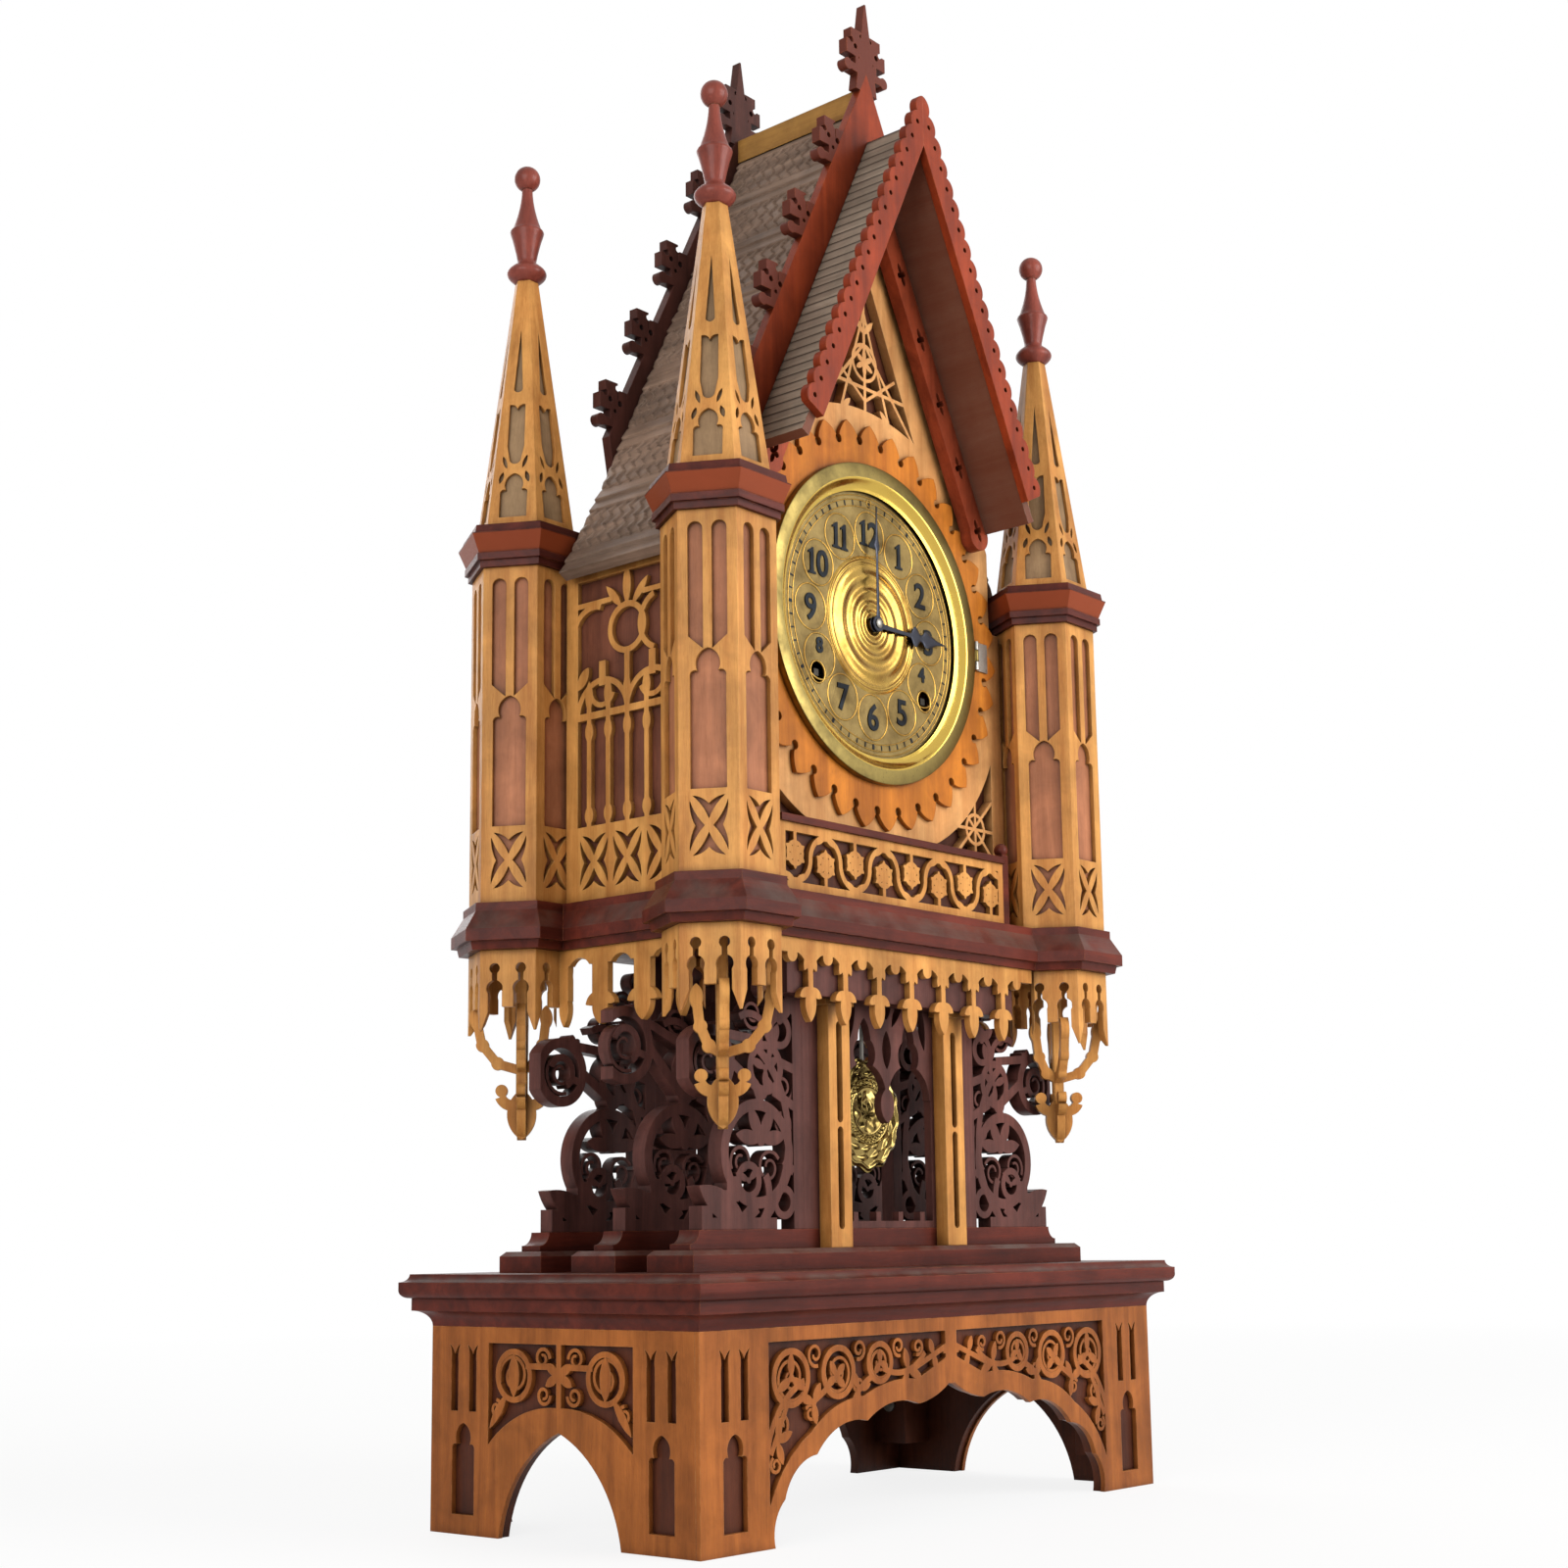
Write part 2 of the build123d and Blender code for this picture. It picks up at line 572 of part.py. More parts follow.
def front_apron():
    """Row of arched ribs with fleur drops under the belt's front."""
    top, pitch = BELT_LOW, 2 * RAIL_HALF / 7
    half = pitch / 2
    end = TURRET_X - TURRET_R - 2
    parts = [rect(-end, end, top - 8, top)]
    for i in range(-3, 4):
        u = i * pitch
        parts += [rect(u - 2, u + 2, top - 30, top - 18), leaf((u, top - 24), (u, top - APRON_DROP), 9)]
        for k in (-1, 1):
            parts += [arc_strip((u + k * half, top - 20), half, 90 + k * 90 - (75 if k > 0 else 0), 75, 3.4),
                      leaf((u, top - 26), (u + k * 9, top - 31), 5), Pos(u + k * half, top - 9) * Circle(4),
                      leaf((u, top - 6), (u + k * 5, top - 17), 5)]
    return joined(parts)


def side_apron(span):
    """Round arches with fleur drops under the belt's side."""
    top, pitch = BELT_LOW, span / 3
    parts = [rect(-span / 2, span / 2, top - 9, top)]
    for i in range(4):
        inner = 0 < i < 3
        half = 6 if inner else 3.5
        stem = -span / 2 + i * pitch + (0 if inner else half if i == 0 else -half)
        parts += [rect(stem - half, stem + half, top - 28, top),
                  leaf((stem, top - 22), (stem, top - APRON_DROP + 2), 2 * half)]
        if inner:
            parts += [leaf((stem, top - 25), (stem + k * 11, top - 31), 6) for k in (-1, 1)]
    return joined(parts) - [Pos(-span / 2 + (i + 0.5) * pitch, top - 14) * Circle(9) for i in range(3)]


def turret_apron():
    """Turret drop apron: six faces with keyhole openings, left open towards the case."""
    top, low, half = BELT_LOW, BELT_LOW - APRON_DROP, TURRET_R / 2
    tube = hex_prism(TURRET_R, low, top) - hex_prism(TURRET_R - APRON_T / HEX_FLAT, low - 1, top + 1)
    key = [Pos(7.4, top - 10) * Circle(2.9), rect(5.9, 8.9, top - 20, top - 10),
           Pos(7.4, top - 21) * Circle(4.6), rect(3.2, half - 4.6, low - 1, top - 21),
           poly((half - 6, low - 1), (half - 0.5, low - 1), (half - 4.6, low + 10))]
    cut = joined(both_sides(key) + [rect(-4, 4, low - 1, top - 31)])
    reach = TURRET_R * HEX_FLAT - APRON_T - 1
    for angle in range(30, 390, 60):
        a = radians(angle)
        tube -= board(cut, facing(reach * cos(a), reach * sin(a), angle), APRON_T + 2)
    side = Rot(0, 0, 30) * box(reach + 0.5, TURRET_R + 5, -TURRET_R, TURRET_R, low - 1, top + 1)
    return tube - side


def pendant_fret(far, near):
    """Flat fret with cusped arms reaching far on its right and near on its left, and a bud below."""
    top, tip = BELT_LOW, BELT_LOW - PENDANT_DROP
    shape = [rect(-3.2, 3.2, tip + 18, top), leaf((0, tip), (0, tip + 28), 16)]
    for k, reach in ((1, far), (-1, near)):
        u = k * reach
        shape += [bar((0, tip + 38), (u * 0.55, tip + 42), 5),
                  bar((u * 0.5, tip + 41), (u * 0.85, tip + 52), 5),
                  bar((u * 0.85, tip + 50), (u, tip + 68), 5), Pos(u * 0.52, tip + 42) * Circle(3.6),
                  Pos(u * 0.85, tip + 52) * Circle(3.6), leaf((u, tip + 60), (u, tip + 74), 7),
                  arc_strip((k * 5, tip + 26), 7, 200 if k < 0 else 250, 90, 6),
                  Pos(k * 11, tip + 27) * Circle(3.4)]
    return joined(shape)


def pendant():
    """Two crossed frets on the front left turret's axis; their arms towards the brackets are short."""
    shape = pendant_fret(TURRET_R - 6, TURRET_R * 0.42)
    plates = [Rot(0, 0, a) * front_board(shape, -PENDANT_T / 2, PENDANT_T) for a in (-45, -135)]
    return plates[0] + plates[1]


def make_belt():
    """Belt moulding with its rod slot, the aprons below it and the pendants."""
    z = BELT_TOP
    courses = [(3, 3, 4.5, 0), (BELT_OUT, 3, 15, 4.5), (BELT_OUT, BELT_OUT, 21.5, 15), (5, 6, BELT_T, 21.5)]
    layers = [belt_layer(low, high, z - below, z - above) for low, high, below, above in courses]
    belt = layers[0] + layers[1:]
    belt -= box(-34, 34, PENDULUM_Y - 8, PENDULUM_Y + 8, BELT_LOW - 1, BELT_TOP + 1)
    save("belt_moulding", belt)
    save("front_apron", front_board(front_apron(), BODY_FRONT - APRON_OUT, APRON_T))
    gap = TURRET_R * HEX_FLAT
    rear_end, front_end = TURRET_REAR - gap, TURRET_FRONT + gap
    plane = facing(-BODY_HALF - APRON_OUT + APRON_T, (rear_end + front_end) / 2, 180)
    apron = board(side_apron(rear_end - front_end), plane, APRON_T)
    save("side_aprons", apron, mirror(apron, about=Plane.YZ))
    here = Pos(-TURRET_X, TURRET_FRONT, 0)
    save("turret_aprons", corner_copies(here * turret_apron()))
    save("turret_pendants", corner_copies(here * pendant()))


def shaft_openings():
    """Openings of one turret face between belt and cap."""
    low = BELT_TOP
    holes = petal_cross(0, low + 23.5, 10, 15.5) + [cusped_lancet(0, low + 42.5, 19, 73.5)]
    for k in (-1, 1):
        holes.append(round_lancet(k * 6.4, low + 119, 8, 64.5, -3.5 * k))
    return holes


def spire_openings():
    """Openings of one spire face, heights along its slope."""
    panel = curved(((3.4, 42), 0), ((5, 50), 0), ((4.6, 76), -1.2), ((0, 73), -1.2), ((-4.6, 76), 0),
                   ((-5, 50), 0), ((-3.4, 42), -3.2))
    holes = [cusped_lancet(0, 6, 16, 27), panel, curved(((2.6, 86), 0), ((0, 124), 0), ((-2.6, 86), -2.2))]
    for k in (-1, 1):
        holes += [leaf((k * 6.6, 34), (k * 8.6, 27), 2.6), leaf((k * 4.6, 36), (k * 7.2, 44), 2.2)]
    return holes


def make_turrets():
    """Four hexagonal turrets: core, fret sleeve, cap, spire core, spire sleeve and turned finial."""
    inner = TURRET_R - SLEEVE_T / HEX_FLAT
    save("turret_cores", at_turrets(hex_prism(inner, BELT_TOP, SHAFT_TOP)))
    sleeve = hex_prism(TURRET_R, BELT_TOP, SHAFT_TOP) - hex_prism(inner, BELT_TOP - 1, SHAFT_TOP + 1)
    reach = TURRET_R * HEX_FLAT - SLEEVE_T - 1
    cutters = []
    for angle in range(30, 390, 60):
        a = radians(angle)
        plane = facing(reach * cos(a), reach * sin(a), angle)
        cutters += [board(h, plane, SLEEVE_T + 2) for h in shaft_openings()]
    save("turret_frets", at_turrets(sleeve - cutters))

    z = SHAFT_TOP
    cap = hex_frustum(CAP_R - 6, CAP_R - 6, z, z + 4) + hex_frustum(CAP_R - 4, CAP_R - 4, z + 4, z + 8)
    cap = cap + hex_frustum(CAP_R - 5, CAP_R, z + 8, z + 19)
    cap = cap + hex_frustum(CAP_R - 2, CAP_R - 3, z + 19, CAP_TOP)
    left = front_board(roof_profile(), ROOF_FRONT, ROOF_REAR - ROOF_FRONT)
    eaves = [left, mirror(left, about=Plane.YZ)]
    save("turret_caps", [c - eaves for c in at_turrets(cap)])

    core = hex_frustum(SPIRE_R - SPIRE_T / HEX_FLAT, SPIRE_TOP_R - SPIRE_T / HEX_FLAT, CAP_TOP, SPIRE_TOP)
    save("spire_cores", at_turrets(core))
    shell = hex_frustum(SPIRE_R, SPIRE_TOP_R, CAP_TOP, SPIRE_TOP) - core
    lean = atan2((SPIRE_R - SPIRE_TOP_R) * HEX_FLAT, SPIRE_H)
    cutters = []
    for angle in range(30, 390, 60):
        a = radians(angle)
        out = Vector(cos(a) * cos(lean), sin(a) * cos(lean), sin(lean))
        seat = Vector(cos(a), sin(a), 0) * (SPIRE_R * HEX_FLAT) + Vector(0, 0, CAP_TOP)
        plane = Plane(origin=seat - out * (SPIRE_T + 1), x_dir=(-sin(a), cos(a), 0), z_dir=out)
        cutters += [board(h, plane, SPIRE_T + 2) for h in spire_openings()]
    save("spire_frets", at_turrets(shell - cutters))
    save("turned_finials", at_turrets(Pos(0, 0, SPIRE_TOP) * finial()))


def finial():
    """Turned bun, double cone, neck and ball, standing on z = 0."""
    neck, ball = 3.3, 8.0
    mid_ball = FINIAL_H - ball
    low_ball = mid_ball - sqrt(ball ** 2 - neck ** 2)
    edges = [Line((0, 0), (7, 0)), ThreePointArc((7, 0), (11.5, 6), (7.5, 12)), Line((7.5, 12), (5.5, 14)),
             Line((5.5, 14), (10, 31)), Line((10, 31), (8.6, 33)), bulge((8.6, 33), (neck, low_ball), 1.4),
             ThreePointArc((neck, low_ball), (ball, mid_ball), (0, FINIAL_H)), Line((0, FINIAL_H), (0, 0))]
    return revolve(Plane.XZ * make_face(edges), Axis.Z)


def roof_z(x, top):
    """Height over the place x of a slope with the given apex."""
    return top - ROOF_SLOPE * abs(x)


def eave_inner():
    """Inner corner of the left eave, square to the flared lower slope."""
    run, fall = EAVE_X - KNEE_X, roof_z(KNEE_X, ROOF_TOP) - EAVE_Z
    return (-EAVE_X + ROOF_T * fall / hypot(run, fall), EAVE_Z - ROOF_T * run / hypot(run, fall))


def knee_inner():
    """Inner corner of the left slope where the flare begins."""
    x = KNEE_X - ROOF_T * ROOF_SLOPE / sqrt(1 + ROOF_SLOPE ** 2)
    return (-x, roof_z(x, ROOF_UNDER))


def roof_profile():
    """Left slope's cross-section with its flared eave."""
    return poly((0, ROOF_TOP), (-KNEE_X, roof_z(KNEE_X, ROOF_TOP)), (-EAVE_X, EAVE_Z), eave_inner(),
                knee_inner(), (0, ROOF_UNDER))


def crocket(u, v):
    """Pierced three-lobed leaf on the left slope, rooted at (u, v)."""
    lobes = [rect(-5, 5, -6, 10), Pos(-8, 7) * Rectangle(11, 9), Pos(-4, 15) * Rectangle(10, 10),
             Pos(6, 11) * Rectangle(9, 10), Pos(-12, -5) * Circle(3.6), bar((-12, -5), (0, -5), 5)]
    holes = [Pos(-5, 9) * Circle(1.7), Pos(3, 8) * Circle(1.9), Pos(-1, 2.5) * Circle(1.3),
             Pos(-8.8, 12) * Circle(1.9), Pos(1, 17) * Circle(1.8)]
    return Pos(u, v) * (joined(lobes) - holes)


def verge_outline():
    """Crocketed verge board with its spike, over both slopes."""
    outer = ROOF_TOP + VERGE_RISE * sqrt(1 + ROOF_SLOPE ** 2)
    foot = VERGE_FOOT
    right = [(foot + 6, roof_z(foot + 6, outer)), (foot, roof_z(foot, PORCH_TOP))]
    left = [(-x, z) for x, z in right[::-1]]
    band = poly((0, PORCH_TOP), *left, (0, outer), *right)
    spike = poly((-10, outer - 12), (10, outer - 12), (0.6, SPIKE_TOP), (-0.6, SPIKE_TOP))
    leaves = [crocket(-u, roof_z(u, outer) + 2) for u in (32, 60, 86, 112)]
    return joined([band, spike] + both_sides(leaves + [crocket(-5, outer + 6)]))


def square_end(x, top, width):
    """Lower corner of a left sloping board of this width whose foot is cut square at x."""
    lean = sqrt(1 + ROOF_SLOPE ** 2)
    return (-x + width * ROOF_SLOPE / lean, roof_z(x, top) - width / lean)


def porch_slope():
    """Left porch slope: stepped clapboard courses over a plain soffit."""
    under = PORCH_TOP - PORCH_DROP
    outer = []
    for i in range(COURSES):
        x0, x1 = PORCH_X * i / COURSES, PORCH_X * (i + 1) / COURSES
        outer += [(-x0, roof_z(x0, PORCH_TOP) - (COURSE_STEP if i else 0)), (-x1, roof_z(x1, PORCH_TOP))]
    return poly(*outer, square_end(PORCH_X, PORCH_TOP, PORCH_DROP / sqrt(1 + ROOF_SLOPE ** 2)), (0, under))


def bargeboard():
    """Left porch bargeboard with a scalloped and pierced upper edge."""
    low = BARGE_TOP - BARGE_W * sqrt(1 + ROOF_SLOPE ** 2)
    steps, holes = [], []
    for i in range(SCALLOPS):
        x0, x1 = PORCH_X * i / SCALLOPS, PORCH_X * (i + 1) / SCALLOPS
        steps.append(((-x0, roof_z(x0, BARGE_TOP)), -3.2))
        if i < SCALLOPS - 1:
            holes.append(Pos(-x1, roof_z(x1, BARGE_TOP) - 7) * Circle(1.5))
    steps += [((-PORCH_X, roof_z(PORCH_X, BARGE_TOP)), 0), (square_end(PORCH_X, BARGE_TOP, BARGE_W), 0),
              ((0, low), 0)]
    return pierced(curved(*steps), holes)


def inner_board():
    """Left inner bargeboard pierced with quatrefoils, with a round foot cut to the porch soffit."""
    top = PORCH_TOP - PORCH_DROP
    drop = INNER_W * sqrt(1 + ROOF_SLOPE ** 2)
    foot, heel = (-INNER_X, roof_z(INNER_X, top)), square_end(INNER_X, top, INNER_W)
    band = poly((0, top), foot, heel, (0, top - drop))
    tip = Pos((foot[0] + heel[0]) / 2 - 1, (foot[1] + heel[1]) / 2 - 2) * Circle(INNER_W * 0.62)
    along = degrees(atan2(ROOF_SLOPE, 1))
    holes = [quatrefoil(-u, roof_z(u, top - drop / 2), along, 4.4) for u in (24, 42, 60, 78, 96)]
    return (band + tip) - (holes + [porch_slope()])


def make_roof():
    """Main roof, ridge, verges and the porch gable."""
    gable = poly((0, ROOF_TOP), (-GABLE_X, roof_z(GABLE_X, ROOF_TOP)),
                 (-GABLE_X, roof_z(GABLE_X, ROOF_UNDER)), (0, ROOF_UNDER))
    left = front_board(roof_profile(), ROOF_FRONT, ROOF_REAR - ROOF_FRONT)
    left = left + front_board(gable, WALL_FRONT, ROOF_FRONT - WALL_FRONT)
    save("roof_slopes", left, mirror(left, about=Plane.YZ))
    half = RIDGE_W / 2
    crest = poly((0, ROOF_TOP), (half, roof_z(half, ROOF_TOP)), (half, RIDGE_TOP), (-half, RIDGE_TOP),
                 (-half, roof_z(half, ROOF_TOP)))
    save("ridge_board", front_board(crest, WALL_FRONT, ROOF_REAR - WALL_FRONT))
    verge = verge_outline()
    save("front_verge", front_board(verge, WALL_FRONT - VERGE_T, VERGE_T))
    save("rear_verge", front_board(verge, ROOF_REAR, VERGE_T))

    slope = front_board(porch_slope(), PORCH_FRONT + BARGE_T, WALL_FRONT - PORCH_FRONT - BARGE_T)
    save("porch_roof", slope, mirror(slope, about=Plane.YZ))
    barge = front_board(bargeboard(), PORCH_FRONT, BARGE_T)
    save("porch_bargeboards", barge, mirror(barge, about=Plane.YZ))
    lining = front_board(inner_board(), WALL_FRONT - PETAL_T - INNER_T, INNER_T)
    save("inner_bargeboards", lining, mirror(lining, about=Plane.YZ))


def gable_window():
    """Tracery openings in the front wall's gable."""
    base = DIAL_Z + PETAL_TIP_R + 12
    top = PORCH_TOP - PORCH_DROP - INNER_W * sqrt(1 + ROOF_SLOPE ** 2) - 26
    half = (top - base) / ROOF_SLOPE
    window = curved(((-half, base - 10), 8), ((half, base - 10), 0), ((0, top), 0))
    heart = (0, base + 28)
    bars = [bar((0, base - 30), (0, top), 2.4), ring(heart, 11, 2.2),
            bar((-half, base + 12), (half, base + 12), 2.2)]
    for k in (-1, 1):
        bars += [bar((k * half, base - 12), (0, base + 40), 2.2), leaf((0, base + 46), (k * 9, base + 56), 4),
                 bar((k * half * 0.5, base - 8), (0, base + 60), 2),
                 leaf((k * 14, base + 2), (k * 22, base - 6), 4),
                 bar((k * half * 0.62, base + 24), (0, base + 4), 2)]
    return window - (bars + rays(heart, 9, 3.6, range(30, 390, 60)))


def corner_window():
    """Star tracery opening at the lower left of the dial."""
    u0, v0 = -WALL_HALF + 12, BELT_TOP + RAIL_H + 6
    window = curved(((u0, v0), 0), ((u0, v0 + 60), -9), ((u0 + 66, v0), 0))
    hub = (u0 + 18, v0 + 17)
    bars = [ring(hub, 9, 2.2), bar((u0, hub[1]), (u0 + 60, hub[1]), 2), bar((u0, v0), (u0 + 40, v0 + 38), 2),
            bar((hub[0], v0), (hub[0], v0 + 60), 2), bar((u0, v0 + 36), (u0 + 38, v0), 2)]
    return window - bars


def vine():
    """Wavy stem with leaves in every wave, filling the balustrade."""
    low, high, count = BELT_TOP + 6, BELT_TOP + RAIL_H - 5, 4
    mid, pitch = (low + high) / 2, RAIL_HALF / count
    parts = []
    for i in range(-count, count):
        u = (i + 0.5) * pitch
        up = 1 if i % 2 else -1
        eye = (u, mid - up * 2)
        parts += [arc_strip((u, mid), pitch / 2, 0 if up > 0 else 180, 180, 3.2), ring(eye, 6, 2.4)]
        parts += rays(eye, 9, 4, range(30, 390, 60)) + [bar((u, mid - up * 6), (u, mid - up * 16), 2.6)]
        parts += [leaf((u, mid + up * 13), (u + k * 11, mid + up * 9), 4) for k in (-1, 1)]
    return joined(parts)


def gate(span, top):
    """Side wall fret: petal band, spear pickets with a cross bar, cusped arches and a looped scroll."""
    low, half = BELT_TOP, span / 2 - 9
    shape = rect(-span / 2, span / 2, low, top) - rect(-half, half, low + 42, top - 8)
    pitch = 2 * half / 3
    for i in range(3):
        shape -= petal_cross((i - 1) * pitch, low + 22, pitch * 0.42, 15)
    parts = [bar((-half - 1, low + 104), (half + 1, low + 104), 4), bar((0, low + 104), (0, low + 136), 4),
             ring((0, low + 150), 13, 3.4), leaf((0, low + 162), (0, top - 4), 6)]
    for i in range(5):
        u = (i - 2) * half / 2.6
        parts += [rect(u - 1.7, u + 1.7, low + 40, low + 112), leaf((u, low + 106), (u, low + 124), 6),
                  leaf((u, low + 42), (u, low + 54), 6.5), leaf((u, low + 88), (u, low + 102), 6)]
    for k in (-1, 1):
        arch = (k * half / 2, low + 104)
        parts += [arc_strip(arch, half / 2, 0, 180, 3.4), arc_strip((arch[0], low + 118), 9, 200, 140, 3),
                  bar((arch[0], low + 120), (arch[0], low + 134), 5),
                  leaf((k * half, low + 120), (k * 30, low + 132), 7),
                  arc_strip((k * 26, low + 150), 16, 90 + k * 20, 140, 3.4),
                  leaf((k * 4, low + 162), (k * 16, low + 176), 5),
                  bar((k * (half + 1), low + 168), (k * 12, low + 168), 3)]
    return joined(shape, parts)


def petal_edges():
    """Closed outline of pointed petals with a round notch between neighbours."""
    half_step = pi / PETALS
    cheek, side = half_step * 0.86, (PETAL_ROOT_R + PETAL_TIP_R) / 2 + 1
    edges = []
    for i in range(PETALS):
        def spot(r, turn):
            return (r * sin(2 * i * half_step + turn), r * cos(2 * i * half_step + turn))
        tip, left, right = spot(PETAL_TIP_R, 0), spot(PETAL_ROOT_R + 3, -cheek), spot(PETAL_ROOT_R + 3, cheek)
        after = spot(PETAL_ROOT_R + 3, 2 * half_step - cheek)
        edges += [ThreePointArc(left, spot(side, -half_step * 0.58), tip),
                  ThreePointArc(tip, spot(side, half_step * 0.58), right),
                  ThreePointArc(right, spot(PETAL_ROOT_R - 2, half_step), after)]
    return edges


def make_walls():
    """Front, side and back walls, their linings and frets, petal ring and balustrade."""
    step_z = SHAFT_TOP - 2
    narrow = WALL_HALF - 10
    peak = [(narrow, roof_z(narrow, ROOF_UNDER)), (0, ROOF_UNDER), (-narrow, roof_z(narrow, ROOF_UNDER))]
    front = poly((-WALL_HALF, BELT_TOP), (WALL_HALF, BELT_TOP), (WALL_HALF, step_z), (narrow, step_z), *peak,
                 (-narrow, step_z), (-WALL_HALF, step_z))
    opening = Pos(0, DIAL_Z) * Circle(DIAL_HOLE_R)
    front = front - opening - gable_window() - both_sides([corner_window()])
    save("front_wall", front_board(front, WALL_FRONT, WALL_T))
    lining = poly((-narrow, BELT_TOP), (narrow, BELT_TOP), *peak)
    lining -= rect(-PLATE_HALF - 2, PLATE_HALF + 2, BELT_TOP - 1, DIAL_Z + DIAL_HOLE_R)
    rail_y = BODY_FRONT + 5
    low, high = BELT_TOP, BELT_TOP + RAIL_H
    behind = box(-RAIL_HALF, RAIL_HALF, rail_y + FRET_T, rail_y + FRET_T + LINING_T, low, high)
    save("dark_linings", front_board(lining, WALL_BACK, LINING_T), behind)
    save("back_panel", front_board(poly((-narrow, BELT_TOP), (narrow, BELT_TOP), *peak), BACK_WALL_Y, WALL_T))

    gap = TURRET_R * HEX_FLAT
    rear_end, front_end = TURRET_REAR - gap, TURRET_FRONT + gap
    plane = facing(-SIDE_WALL_X + FRET_T, (rear_end + front_end) / 2, 180)
    fret = board(gate(rear_end - front_end, SHAFT_TOP), plane, FRET_T)
    save("side_gate_frets", fret, mirror(fret, about=Plane.YZ))
    skin = -SIDE_WALL_X + FRET_T
    wall = box(skin, skin + WALL_T, front_end, rear_end, BELT_TOP, SHAFT_TOP)
    save("side_walls", wall, mirror(wall, about=Plane.YZ))

    flower = Pos(0, DIAL_Z) * (make_face(petal_edges()) - Circle(PETAL_IN_R))
    save("petal_ring", front_board(flower, WALL_FRONT - PETAL_T, PETAL_T))

    frame = rect(-RAIL_HALF, RAIL_HALF, low, high) - rect(-RAIL_HALF + 5, RAIL_HALF - 5, low + 6, high - 5)
    fret = frame + (vine() & rect(-RAIL_HALF + 1, RAIL_HALF - 1, low + 1, high - 1))
    save("balustrade_fret", front_board(fret, rail_y, FRET_T))
    rail = box(-RAIL_HALF, RAIL_HALF, rail_y - 2, rail_y + FRET_T + LINING_T + 1, high, high + 4)
    post = box(RAIL_HALF, RAIL_HALF + 6, rail_y, rail_y + 6, low, high + 6)
    post += Pos(RAIL_HALF + 3, rail_y + 3, high + 9) * Sphere(4.2)
    save("balustrade_rail", rail, post, mirror(post, about=Plane.YZ))


def spin(profile, y):
    """Turn a (radius, distance behind y) outline round the dial's axis."""
    plane = Plane(origin=(0, y, DIAL_Z), x_dir=(1, 0, 0), z_dir=(0, 0, 1))
    return revolve(plane * profile, Axis((0, y, DIAL_Z), (0, 1, 0)))


def rod_y(x, z, y0, y1, radius):
    """Round rod along Y."""
    return Pos(x, (y0 + y1) / 2, z) * Rot(90, 0, 0) * Cylinder(radius, y1 - y0)


def tube_y(x, z, y0, y1, radius, bore):
    """Round sleeve along Y."""
    return rod_y(x, z, y0, y1, radius) - rod_y(x, z, y0 - 1, y1 + 1, bore)


def gear(teeth, module, phase):
    """Toothed wheel outline with slim straight teeth; phase is the angle of one tooth's middle."""
    pitch_r, step = teeth * module / 2, 2 * pi / teeth
    tip, root = pitch_r + 0.8 * module, pitch_r - 1.1 * module
    points = []
    for i in range(teeth):
        middle = radians(phase) + i * step
        for r, share in ((root, -0.26), (tip, -0.1), (tip, 0.1), (root, 0.26)):
            points.append((r * cos(middle + share * step), r * sin(middle + share * step)))
    return poly(*points)


def wheel(x, z, y0, y1, outline, bore):
    """Gear outline as a wheel on the axis (x, z) between y0 and y1."""
    return front_board(Pos(x, z) * (outline - Circle(bore)), y0, y1 - y0)


def hand(length, width, spade, bore):
    """Spade hand pointing up from its eye."""
    neck = length * 0.6
    shape = [Circle(4.5), bar((0, 0), (0, length * 0.72), width),
             leaf((0, neck - 5), (0, neck + spade), spade * 0.8),
             poly((-1.5, length * 0.7), (1.5, length * 0.7), (0.3, length), (-0.3, length))]
    return joined(shape) - Circle(bore)


